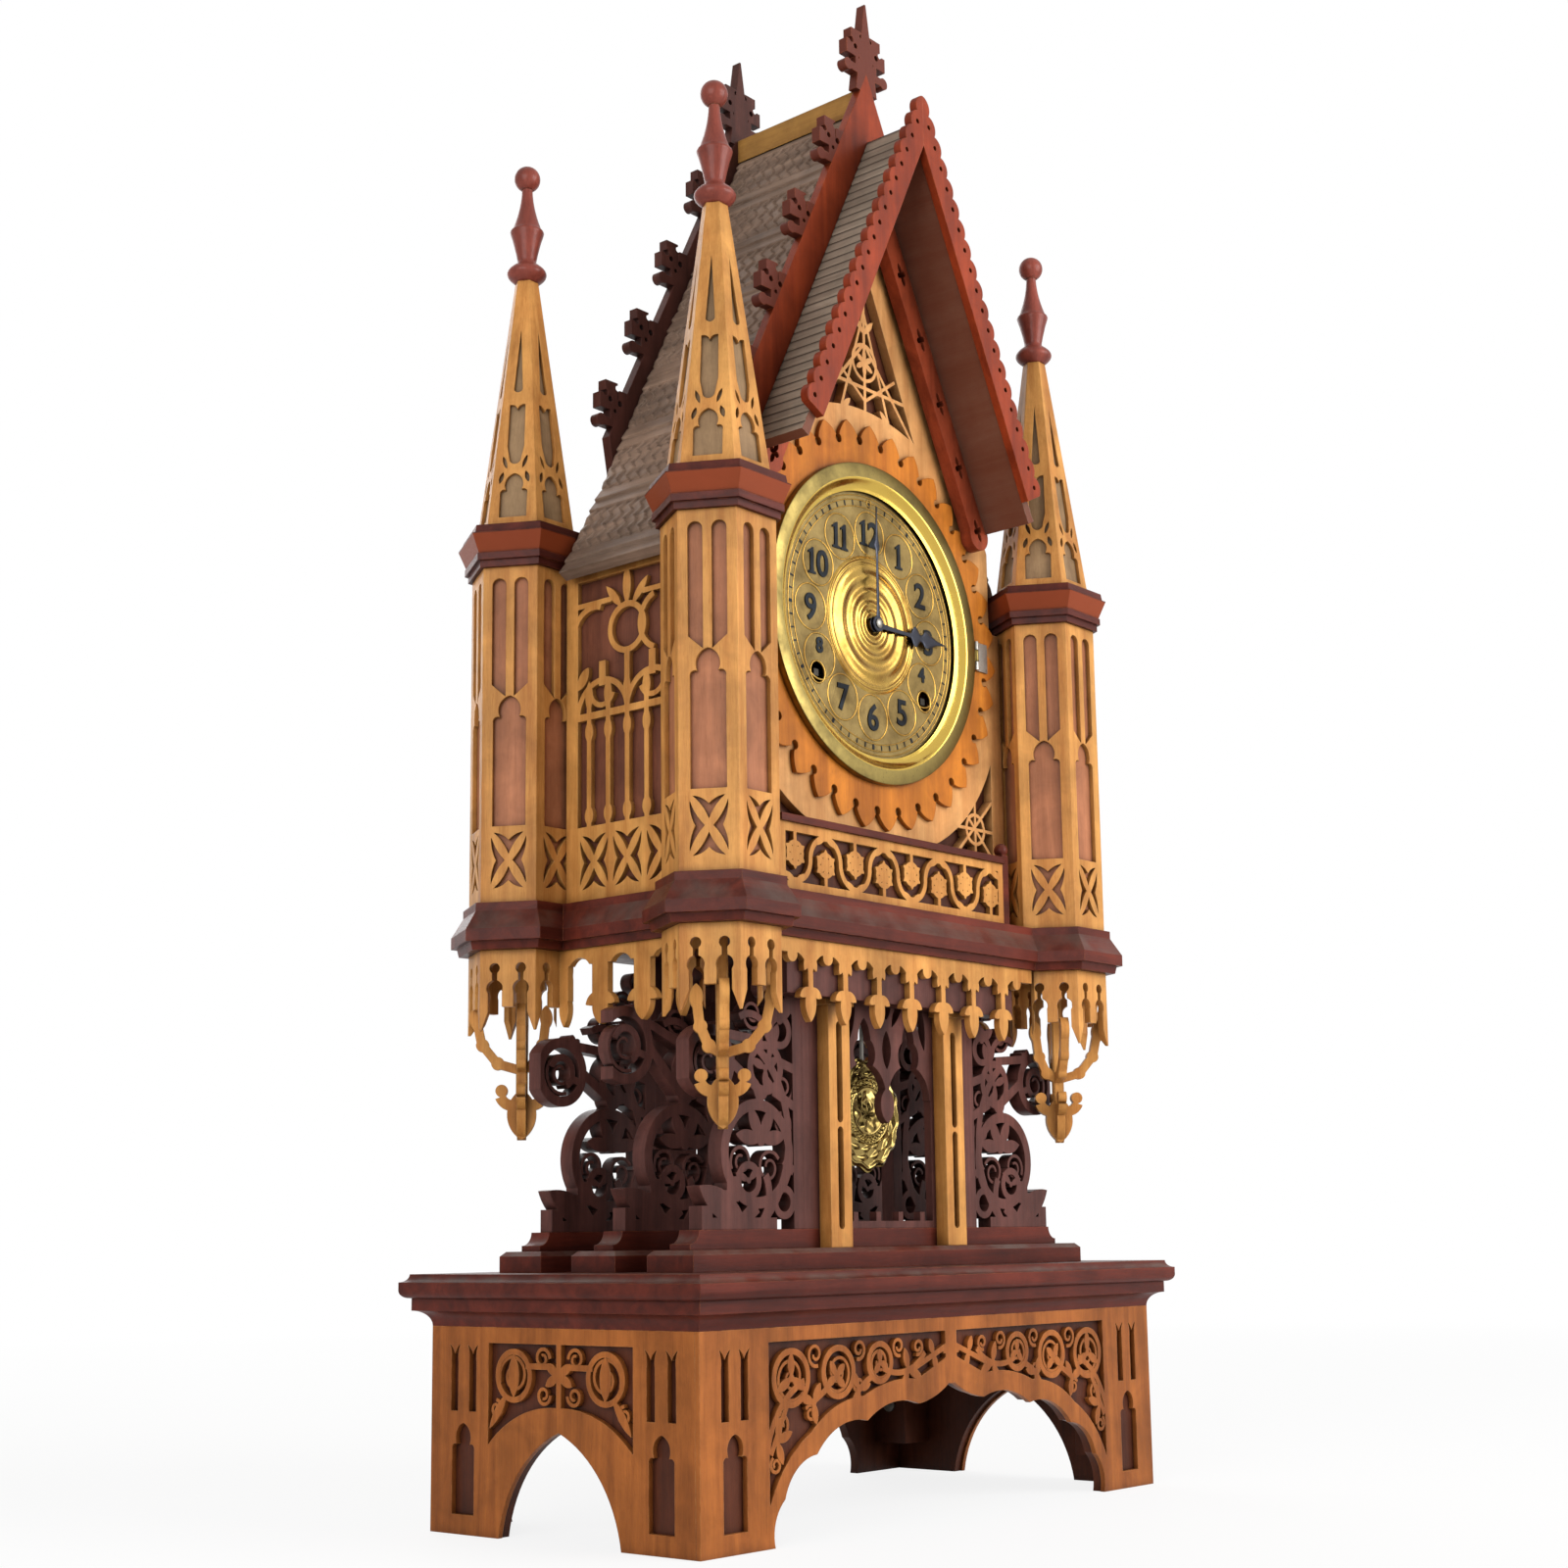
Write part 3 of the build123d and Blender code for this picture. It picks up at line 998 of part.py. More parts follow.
def make_dial():
    """Dial, hinged bezel and the two hands at three o'clock."""
    dial_front = WALL_FRONT - DIAL_T
    holes = [Circle(CENTRE_HOLE_R)] + [Pos(k * WIND_X, -WIND_DROP) * Circle(WIND_HOLE_R) for k in (-1, 1)]
    save("dial", front_board(Pos(0, DIAL_Z) * (Circle(DIAL_R) - holes), dial_front, DIAL_T))
    seat = WALL_FRONT - PETAL_T
    skin = 1.4
    profile = poly((BEZEL_R, 0), (BEZEL_R, -BEZEL_H), (BEZEL_R - 9, -BEZEL_H), (BEZEL_SIGHT_R, -0.3),
                   (BEZEL_SIGHT_R + skin, 0.2), (BEZEL_R - 8, -BEZEL_H + skin),
                   (BEZEL_R - skin, -BEZEL_H + skin), (BEZEL_R - skin, 0))
    pin = Pos(BEZEL_R + PIN_OUT, seat - KNUCKLE_R - 0.1, DIAL_Z)
    knuckle = pin * (Cylinder(KNUCKLE_R, KNUCKLE_L) - Cylinder(PIN_R + FIT, KNUCKLE_L + 2))
    tab = pin * Pos(-(PIN_OUT + KNUCKLE_R) / 2, 0, 0) * Box(PIN_OUT - KNUCKLE_R + 1.4, 1.2, KNUCKLE_L)
    save("bezel", spin(profile, seat) + tab + knuckle)
    leaf_plate = box(BEZEL_R + PIN_OUT, BEZEL_R + PIN_OUT + 12, seat - 1.2, seat, DIAL_Z - 9, DIAL_Z + 9)
    fixed = leaf_plate - pin * Cylinder(KNUCKLE_R + 0.6, KNUCKLE_L + 0.8)
    for k in (-1, 1):
        fixed += pin * Pos(0, 0, k * (KNUCKLE_L / 2 + 0.4 + 2.5)) * Cylinder(KNUCKLE_R, 5)
    save("bezel_hinge", fixed + pin * Cylinder(PIN_R, KNUCKLE_L + 10))

    hour = Rot(0, 0, -90) * hand(HOUR_HAND, 2.4, 15, ARBOR_R + 0.3)
    save("hour_hand", front_board(Pos(0, DIAL_Z) * hour, dial_front - HOUR_STAND, HAND_T))
    minute = hand(MINUTE_HAND, 1.8, 9, TIP_R + FIT)
    save("minute_hand", front_board(Pos(0, DIAL_Z) * minute, dial_front - MINUTE_STAND, HAND_T))


def make_movement():
    """Brass plates on wooden cleats, winding arbors, motion work and escapement."""
    front, back = MOVE_FRONT, MOVE_FRONT + MOVE_DEPTH
    face = front - PLATE_BRASS
    dial_front = WALL_FRONT - DIAL_T
    axle, wind = (0.0, DIAL_Z), (WIND_X, DIAL_Z - WIND_DROP)
    strike = (-wind[0], wind[1])
    motion = (0.0, DIAL_Z + MOTION_FAR)
    escape = (0.0, PENDULUM_Z - ESCAPE_DROP)
    arbors = ((axle, ARBOR_R), (wind, WIND_R), (strike, WIND_R), (escape, TIP_R))
    holes = [Pos(*p) * Circle(r + FIT) for p, r in arbors]
    sheet = rect(-PLATE_HALF, PLATE_HALF, DIAL_Z - 66, DIAL_Z + 56) - holes
    front_plate = front_board(sheet, face, PLATE_BRASS) + rod_y(0, PENDULUM_Z, PENDULUM_Y - 4, face, STUD_R)
    cannon_y = face - 6
    front_plate += rod_y(*motion, cannon_y - 5, face, 2)
    feet = ((-18, -60), (18, -60), (-42, 50), (42, 50))
    pillars = [rod_y(x, DIAL_Z + dz, front, back, 3) for x, dz in feet]
    save("movement_frame", front_plate, front_board(sheet, back, PLATE_BRASS), pillars)
    cleats = []
    for k in (-1, 1):
        x = k * (PLATE_HALF - CLEAT_W / 2)
        cleat = box(x - CLEAT_W / 2, x + CLEAT_W / 2, WALL_BACK, face, DIAL_Z - 62, DIAL_Z + 52)
        cleats.append(cleat - rod_y(k * WIND_X, wind[1], WALL_BACK - 1, front, WIND_HOLE_R + 1))
    save("movement_cleats", cleats)

    y_great = front + 2
    for node, spot in (("time_winding_arbor", wind), ("strike_winding_arbor", strike)):
        square = Pos(spot[0], dial_front + 5, spot[1]) * Box(1.3 * WIND_R, 8, 1.3 * WIND_R)
        arbor = rod_y(*spot, dial_front + 9, back + PLATE_BRASS, WIND_R) + square
        save(node, arbor + wheel(*spot, y_great, y_great + 2, gear(60, 0.75, 0), 1))
    save("mainsprings", [tube_y(*s, y_great + 5, back, 17, WIND_R + 1) for s in (wind, strike)])

    cannon_module, hour_module = 2 * MOTION_FAR / (12 + 36), 2 * MOTION_FAR / (10 + 40)
    shoulder = dial_front - MINUTE_STAND + HAND_T
    arbor = rod_y(*axle, shoulder, back + PLATE_BRASS, ARBOR_R)
    arbor += rod_y(*axle, shoulder - 1.8, shoulder, TIP_R)
    arbor += wheel(*axle, cannon_y, cannon_y + 4, gear(12, cannon_module, 90), 1)
    save("centre_arbor", arbor + wheel(*axle, front + 10, front + 12, gear(80, 0.5, 0), 1))
    save("minute_wheel", wheel(*motion, cannon_y, cannon_y + 2, gear(36, cannon_module, 275), 2 + FIT)
         + wheel(*motion, cannon_y - 4, cannon_y, gear(10, hour_module, 270), 2 + FIT))
    pipe_end = dial_front - HOUR_STAND + HAND_T
    save("hour_wheel", wheel(*axle, cannon_y - 3.5, cannon_y - 2, gear(40, hour_module, 85.5), ARBOR_R + FIT)
         + tube_y(*axle, pipe_end, cannon_y - 2, ARBOR_R + 1.5, ARBOR_R + FIT))

    escape_y = face - 3
    save("escape_wheel", rod_y(*escape, escape_y, back + PLATE_BRASS, TIP_R)
         + wheel(*escape, escape_y, escape_y + 1.2, gear(30, 0.8, 0), 0.6))
    tip = 30 * 0.8 / 2 + 0.8 * 0.8
    pallets = arc_strip(escape, tip + 3.6, 35, 110, 3.2) - Pos(0, PENDULUM_Z) * Circle(STUD_R + 1)
    anchor = front_board(pallets, escape_y - 0.3, 1.8)
    hub = tube_y(0, PENDULUM_Z, escape_y - 3, escape_y + 1.5, STUD_R + 2.5, STUD_R + FIT)
    crutch = box(-1, 1, escape_y - 3, escape_y - 1.5, PENDULUM_Z - 52, PENDULUM_Z - STUD_R - 1)
    fork = [box(x - 0.6, x + 0.6, PENDULUM_Y - 2, escape_y - 1.5, PENDULUM_Z - 52, PENDULUM_Z - 50)
            for x in (-ROD_R - 1.2, ROD_R + 1.2)]
    bridge = box(-ROD_R - 1.8, ROD_R + 1.8, escape_y - 3, escape_y - 1.5, PENDULUM_Z - 52, PENDULUM_Z - 50)
    save("verge_crutch", hub + anchor + crutch + bridge + fork)


def bob_outline():
    """Shield-like medallion: crown above, oval body, scalloped foot."""
    body = Pos(0, BOB_Z) * Ellipse(BOB_W / 2, BOB_H * 0.4)
    crown = [Pos(k * BOB_W * 0.2, BOB_Z + BOB_H * 0.36) * Circle(BOB_W * 0.14) for k in (-1, 0, 1)]
    scallops = [Pos(BOB_W * 0.42 * cos(radians(a)), BOB_Z + BOB_H * 0.36 * sin(radians(a)))
                * Circle(BOB_W * 0.1) for a in range(200, 350, 20)]
    foot = Pos(0, BOB_Z - BOB_H * 0.4) * Circle(BOB_H * 0.1)
    return joined([body, foot] + crown + scallops)


def make_pendulum():
    """Rod with its eye, brass bob, and the bell with its hammer."""
    eye = tube_y(0, PENDULUM_Z, PENDULUM_Y - 2, PENDULUM_Y + 2, STUD_R + 2.5, STUD_R + FIT)
    rod_low, rod_high = BOB_Z - BOB_H * 0.25, PENDULUM_Z - STUD_R - 1
    rod = Pos(0, PENDULUM_Y, (rod_low + rod_high) / 2) * Cylinder(ROD_R, rod_high - rod_low)
    save("pendulum_rod", eye + rod)
    save("pendulum_bob", front_board(bob_outline(), PENDULUM_Y - ROD_R - BOB_T, BOB_T))

    wall = BACK_WALL_Y
    bell_z, pin_x, pin_z = DIAL_Z + 110, 44.0, DIAL_Z + 92
    rim = BELL_R - 1.5
    cup = make_face([Line((0, 0), (3, 0)), bulge((3, 0), (BELL_R, 20), 5), Line((BELL_R, 20), (rim, 20)),
                     bulge((rim, 20), (3, 1.8), -5), Line((3, 1.8), (0, 1.8)), Line((0, 1.8), (0, 0))])
    turn = Plane(origin=(0, wall - 30, bell_z), x_dir=(1, 0, 0), z_dir=(0, 0, 1))
    bell = revolve(turn * cup, Axis((0, wall - 30, bell_z), (0, 1, 0))) + rod_y(0, bell_z, wall - 32, wall, 3)
    bell += box(-8, pin_x + 6, wall - 1.5, wall, pin_z - 6, bell_z + 6)
    bell += rod_y(pin_x, pin_z, wall - 22, wall, 2)
    save("strike_bell", bell)
    arm_y = wall - 20
    hub = tube_y(pin_x, pin_z, arm_y, arm_y + 4, 4.5, 2 + FIT)
    head_z = bell_z + 6
    arm = front_board(bar((pin_x, pin_z + 3.5), (pin_x, head_z), 2.4), arm_y + 0.8, 2.4)
    head = Pos(pin_x - 5, arm_y + 2, head_z) * Rot(0, 90, 0) * Cylinder(4.5, 14)
    save("strike_hammer", hub + arm + head)


os.makedirs("parts", exist_ok=True)
make_base()
make_lower_stage()
make_belt()
make_turrets()
make_roof()
make_walls()
make_dial()
make_movement()
make_pendulum()
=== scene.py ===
import json
from math import cos, pi, radians, sin, sqrt

import bmesh
import bpy
import numpy as np
from mathutils import Matrix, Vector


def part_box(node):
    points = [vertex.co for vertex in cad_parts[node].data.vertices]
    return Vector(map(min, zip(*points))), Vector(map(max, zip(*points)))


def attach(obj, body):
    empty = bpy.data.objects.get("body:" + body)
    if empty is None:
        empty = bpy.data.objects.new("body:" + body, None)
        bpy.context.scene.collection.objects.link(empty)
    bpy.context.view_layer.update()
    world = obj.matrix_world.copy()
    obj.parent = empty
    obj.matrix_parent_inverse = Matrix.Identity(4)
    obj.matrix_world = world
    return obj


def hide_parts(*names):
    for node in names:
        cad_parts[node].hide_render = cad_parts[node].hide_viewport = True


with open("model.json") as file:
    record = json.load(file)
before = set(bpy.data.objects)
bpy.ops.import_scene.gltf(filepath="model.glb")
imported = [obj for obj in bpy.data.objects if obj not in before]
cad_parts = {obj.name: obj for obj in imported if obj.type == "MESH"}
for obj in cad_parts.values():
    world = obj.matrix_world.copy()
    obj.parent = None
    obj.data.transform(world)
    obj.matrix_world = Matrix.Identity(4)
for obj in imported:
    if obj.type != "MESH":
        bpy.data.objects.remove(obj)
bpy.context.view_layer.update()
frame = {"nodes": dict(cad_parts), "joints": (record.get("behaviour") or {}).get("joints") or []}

# Gothic fretwork clock: finishes for the CAD pieces, and the turned, embossed and carved pieces.
# The pieces are worked out in millimetres and multiplied by MM; boxes of the frame are in metres.
MM = 0.001
scene = bpy.context.scene

# Places read from the frame
dial_low, dial_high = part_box("dial")
DIAL_X = (dial_low.x + dial_high.x) / 2
DIAL_Z = (dial_low.z + dial_high.z) / 2
DIAL_FRONT = dial_low.y
roof_low, roof_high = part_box("roof_slopes")
cap_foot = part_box("turret_caps")[0].z


# Shader building

# Texture scales, in cells to the metre
GRAIN_FIGURE = 95.0
GRAIN_FIBRE = 1500.0
GRAIN_PORE = 2600.0
GRAIN_PATCH = 22.0
RUB_BREAK = 140.0
SHADE_MOTTLE = 60.0
TARNISH_CLOUD = 45.0
TARNISH_SPECK = 700.0
TARNISH_SCRATCH = 900.0
VARNISH_STAIN = 34.0
DUST_CLOUD = 38.0
STIPPLE_PIT = 1100.0
FLOOR_CLOUD = 3.0

# How far the grain is drawn out along each axis
GRAIN_STRETCH = {"X": (0.06, 1, 1), "Y": (1, 0.06, 1), "Z": (1, 1, 0.06)}

# Strengths in the grain
FIGURE_SHARE = 0.62
FIBRE_SHARE = 0.5
PORE_DARK = 0.4
PORE_DEPTH = 0.6
GRAIN_RELIEF = 0.22

# Strengths of stains, of painted highlights and of painted shade
LIT_BAND_SHARE = 0.75
CREST_STAIN = 0.9
UNDER_STAIN = 0.85
POLISH_TINT = 0.85
POLISH_GLOSS = 0.16
METAL_RELIEF = 0.08
SPECK_SHARE = 0.5
SCRATCH_SHARE = 0.3
LAP_SHADOW = 0.3
# Darkness of the painted shade in corners, as a share of the dark colour
WOOD_SHADE_TONE = 0.22
METAL_SHADE_TONE = 0.25
BARE_WOOD = 1.5

# Lengths in the finishes, mm
EDGE_RADIUS = 0.8
METAL_REACH = 3.0
RELIEF_DEPTH = 0.3
CREST_SOFTNESS = 0.2
POLISH_SOFTNESS = 0.4

SHADE_SAMPLES = 4
VARNISH_SPECULAR = 0.1
COAT_ROUGHNESS = 0.22


def add(tree, kind, inputs=None, **settings):
    """New shader node; inputs take a value or another node's output."""
    node = tree.nodes.new("ShaderNode" + kind)
    for key, value in settings.items():
        setattr(node, key, value)
    for key, value in (inputs or {}).items():
        if isinstance(value, bpy.types.NodeSocket):
            tree.links.new(value, node.inputs[key])
        else:
            node.inputs[key].default_value = value
    return node


def calc(tree, operation, a, b=0.0, clamp=False):
    """Output of a two-value maths node."""
    return add(tree, "Math", {0: a, 1: b}, operation=operation, use_clamp=clamp).outputs[0]


def product(tree, a, b):
    """Output of a node that multiplies two values."""
    return calc(tree, "MULTIPLY", a, b)


def axes(tree, vector):
    """The x, y and z outputs of a vector."""
    return add(tree, "SeparateXYZ", {0: vector}).outputs


def blend(tree, factor, a, b):
    """Colour output that goes from a to b."""
    return add(tree, "Mix", {0: factor, 6: a, 7: b}, data_type="RGBA").outputs[2]


def spread(tree, value, low, high, to_low=0.0, to_high=1.0):
    """Value rescaled from one range to another, held at its ends."""
    sockets = {"Value": value, "From Min": low, "From Max": high, "To Min": to_low, "To Max": to_high}
    return add(tree, "MapRange", sockets).outputs[0]


def noise(tree, vector, scale, detail=4.0, rough=0.55, distortion=0.0):
    """Factor output of a noise texture."""
    sockets = {"Vector": vector, "Scale": scale, "Detail": detail, "Roughness": rough,
               "Distortion": distortion}
    return add(tree, "TexNoise", sockets).outputs["Fac"]


def group(name, takes, gives):
    """Empty shader group with named sockets; returns its tree, input node and output node."""
    tree = bpy.data.node_groups.new(name, "ShaderNodeTree")
    for socket, kind in takes:
        tree.interface.new_socket(socket, in_out="INPUT", socket_type="NodeSocket" + kind)
    for socket, kind in gives:
        tree.interface.new_socket(socket, in_out="OUTPUT", socket_type="NodeSocket" + kind)
    return tree, tree.nodes.new("NodeGroupInput"), tree.nodes.new("NodeGroupOutput")


def wood_figure_group():
    """Grain: long fibres and slow figure between two colours, on a vector already stretched along it."""
    tree, given, out = group("wood_figure",
                             [("Vector", "Vector"), ("Light", "Color"), ("Dark", "Color")],
                             [("Color", "Color"), ("Roughness", "Float"), ("Height", "Float")])
    vector = given.outputs["Vector"]
    veins = noise(tree, vector, GRAIN_FIGURE, detail=5.0, rough=0.6, distortion=0.7)
    figure = spread(tree, veins, 0.34, 0.68)
    fibre = noise(tree, vector, GRAIN_FIBRE, detail=3.0, rough=0.6)
    pores = spread(tree, noise(tree, vector, GRAIN_PORE, detail=2.0, rough=0.5), 0.60, 0.72)
    patch = noise(tree, vector, GRAIN_PATCH, detail=2.0)
    tone = calc(tree, "ADD", product(tree, figure, FIGURE_SHARE), product(tree, fibre, FIBRE_SHARE),
                clamp=True)
    paint = blend(tree, tone, given.outputs["Dark"], given.outputs["Light"])
    paint = blend(tree, product(tree, pores, PORE_DARK), paint, given.outputs["Dark"])
    bright = spread(tree, patch, 0.3, 0.7, to_low=0.80, to_high=1.14)
    mottled = add(tree, "HueSaturation", {"Color": paint, "Value": bright})
    tree.links.new(mottled.outputs[0], out.inputs["Color"])
    tree.links.new(spread(tree, fibre, 0.3, 0.7, to_low=0.30, to_high=0.52), out.inputs["Roughness"])
    tree.links.new(calc(tree, "SUBTRACT", fibre, product(tree, pores, PORE_DEPTH)), out.inputs["Height"])
    return tree


def worn_edge_group():
    """Rounded normal at sharp edges, and a broken mask along them: scuffed finish on most woods, painted
    shade on the petals.
    """
    tree, given, out = group("edge_scuff_and_shade", [("Vector", "Vector"), ("Radius", "Float")],
                             [("Mask", "Float"), ("Normal", "Vector")])
    rounded = add(tree, "Bevel", {"Radius": given.outputs["Radius"]}, samples=SHADE_SAMPLES).outputs[0]
    flat = add(tree, "NewGeometry").outputs["Normal"]
    turn = add(tree, "VectorMath", {0: rounded, 1: flat}, operation="DOT_PRODUCT").outputs["Value"]
    edge = spread(tree, turn, 0.985, 0.80)
    breaks = noise(tree, given.outputs["Vector"], RUB_BREAK, detail=4.0, rough=0.65)
    tree.links.new(product(tree, edge, spread(tree, breaks, 0.40, 0.62)), out.inputs["Mask"])
    tree.links.new(rounded, out.inputs["Normal"])
    return tree


def grime_group():
    """Mask of painted shade in the corners and recesses of carving, found by ambient occlusion and
    mottled.
    """
    tree, given, out = group("painted_corner_shade", [("Vector", "Vector"), ("Reach", "Float")], [("Mask", "Float")])
    shade = add(tree, "AmbientOcclusion", {"Distance": given.outputs["Reach"]}, samples=SHADE_SAMPLES,
                only_local=False)
    cloud = noise(tree, given.outputs["Vector"], SHADE_MOTTLE, detail=3.0)
    mottle = spread(tree, cloud, 0.25, 0.7, to_low=0.55, to_high=1.0)
    shade_strength = spread(tree, shade.outputs["AO"], 0.85, 0.35)
    tree.links.new(product(tree, shade_strength, mottle), out.inputs["Mask"])
    return tree


def tarnish_group():
    """Aged brass: bright metal that goes brown and dull in cloudy patches, with fine scratches."""
    tree, given, out = group("tarnish",
                             [("Vector", "Vector"), ("Bright", "Color"), ("Dull", "Color")],
                             [("Color", "Color"), ("Roughness", "Float"), ("Height", "Float")])
    vector = given.outputs["Vector"]
    cloud = spread(tree, noise(tree, vector, TARNISH_CLOUD, detail=5.0, rough=0.65), 0.38, 0.70)
    speck = spread(tree, noise(tree, vector, TARNISH_SPECK, detail=2.0), 0.58, 0.70)
    age = calc(tree, "MAXIMUM", cloud, product(tree, speck, SPECK_SHARE))
    paint = blend(tree, age, given.outputs["Bright"], given.outputs["Dull"])
    tree.links.new(paint, out.inputs["Color"])
    tree.links.new(spread(tree, age, 0.0, 1.0, to_low=0.16, to_high=0.40), out.inputs["Roughness"])
    tree.links.new(noise(tree, vector, TARNISH_SCRATCH, detail=2.0), out.inputs["Height"])
    return tree


WOOD_FIGURE = wood_figure_group()
EDGE_SCUFF_AND_SHADE = worn_edge_group()
PAINTED_SHADE = grime_group()
TARNISH = tarnish_group()


def colour(red, green, blue):
    """Linear colour from 0-255 screen values."""
    parts = [c / 255 for c in (red, green, blue)]
    return [c / 12.92 if c <= 0.04045 else ((c + 0.055) / 1.055) ** 2.4 for c in parts] + [1.0]


def shaded(paint, share):
    """A colour made darker or lighter by a factor, held at white."""
    return [min(1.0, c * share) for c in paint[:3]] + [1.0]


def new_material(name):
    """Material with its tree, its Principled shader and object coordinates."""
    material = bpy.data.materials.new(name)
    material.use_nodes = True
    tree = material.node_tree
    shader = tree.nodes["Principled BSDF"]
    return material, tree, shader, add(tree, "TexCoord").outputs["Object"]


def wood(name, light, dark, grain="Z", edge_tint=None, edge_share=0.6, shade_strength=0.9, reach=9.0, gloss=0.02,
         dusty=None, band=None, under=None, crest=None, courses=None):
    """Varnished wood, its grain between two colours along one axis.
    edge_tint, edge_share: colour and strength at sharp edges, in broken patches; lighter scuffed finish
    on most woods, painted shade on the petals;
    shade_strength, reach: strength of the painted shade in corners and recesses, and how far in mm it
    reaches from them;
    gloss: weight of the varnish; dusty: colour of grey upper slopes;
    band: (low z, high z, colour) of a level painted lighter, a painted highlight;
    under: colour of faces that look down or forwards;
    crest: (level, colour) of what stands above the gable line z + 2 |x| = level;
    courses: width across x of lapped boards, each with a dark line under its edge."""
    material, tree, shader, spot = new_material(name)
    stretched = add(tree, "Mapping", {"Vector": spot, "Scale": GRAIN_STRETCH[grain]}).outputs[0]
    figure = add(tree, "Group", node_tree=WOOD_FIGURE,
                 inputs={"Vector": stretched, "Light": light, "Dark": dark})
    edge = add(tree, "Group", {"Vector": spot, "Radius": EDGE_RADIUS * MM}, node_tree=EDGE_SCUFF_AND_SHADE)
    shade = add(tree, "Group", {"Vector": spot, "Reach": reach * MM}, node_tree=PAINTED_SHADE)
    stain = noise(tree, spot, VARNISH_STAIN, detail=5.0, rough=0.62, distortion=0.4)
    stain = spread(tree, stain, 0.36, 0.66, to_low=0.78, to_high=1.12)
    paint = add(tree, "HueSaturation", {"Color": figure.outputs["Color"], "Value": stain}).outputs[0]
    _, facing_y, facing_z = axes(tree, add(tree, "NewGeometry").outputs["Normal"])
    # Painted highlight: a lighter colour on every face between two heights
    if band:
        low, high, level_tint = band
        height = axes(tree, spot)[2]
        inside = product(tree, calc(tree, "GREATER_THAN", height, low),
                         calc(tree, "LESS_THAN", height, high))
        paint = blend(tree, product(tree, inside, LIT_BAND_SHARE), paint, level_tint)
    if crest:
        level, level_tint = crest
        across, _, height = axes(tree, spot)
        line = calc(tree, "ADD", height, product(tree, calc(tree, "ABSOLUTE", across), 2.0))
        above = spread(tree, line, level - CREST_SOFTNESS * MM, level + CREST_SOFTNESS * MM,
                       to_high=CREST_STAIN)
        paint = blend(tree, above, paint, level_tint)
    if courses:
        across = calc(tree, "ABSOLUTE", axes(tree, spot)[0])
        place = calc(tree, "FRACT", calc(tree, "DIVIDE", across, courses))
        shadow = product(tree, spread(tree, place, 0.40, 0.10), spread(tree, facing_z, 0.0, 0.2))
        paint = blend(tree, shadow, paint, shaded(dark, LAP_SHADOW))
    if under:
        hidden = calc(tree, "MAXIMUM", spread(tree, facing_z, -0.1, -0.3),
                      spread(tree, facing_y, -0.5, -0.7))
        paint = blend(tree, product(tree, hidden, UNDER_STAIN), paint, under)
    if dusty:
        cloud = noise(tree, spot, DUST_CLOUD, detail=4.0, rough=0.6)
        cloud = spread(tree, cloud, 0.40, 0.66, to_low=0.05, to_high=0.60)
        paint = blend(tree, product(tree, spread(tree, facing_z, 0.2, 0.6), cloud), paint, dusty)
    # Painted shade: corners and recesses darkened where the occlusion mask finds them
    paint = blend(tree, product(tree, shade.outputs["Mask"], shade_strength), paint, shaded(dark, WOOD_SHADE_TONE))
    # At sharp edges: lighter scuffed finish on most woods; on the petals, painted shade
    edge_paint = edge_tint or shaded(light, BARE_WOOD)
    paint = blend(tree, product(tree, edge.outputs["Mask"], edge_share), paint, edge_paint)
    bump = add(tree, "Bump", {"Height": figure.outputs["Height"], "Normal": edge.outputs["Normal"],
                              "Strength": GRAIN_RELIEF, "Distance": RELIEF_DEPTH * MM})
    tree.links.new(paint, shader.inputs["Base Color"])
    tree.links.new(figure.outputs["Roughness"], shader.inputs["Roughness"])
    tree.links.new(bump.outputs[0], shader.inputs["Normal"])
    shader.inputs["Specular IOR Level"].default_value = VARNISH_SPECULAR
    shader.inputs["Coat Weight"].default_value = gloss
    shader.inputs["Coat Roughness"].default_value = COAT_ROUGHNESS
    return material


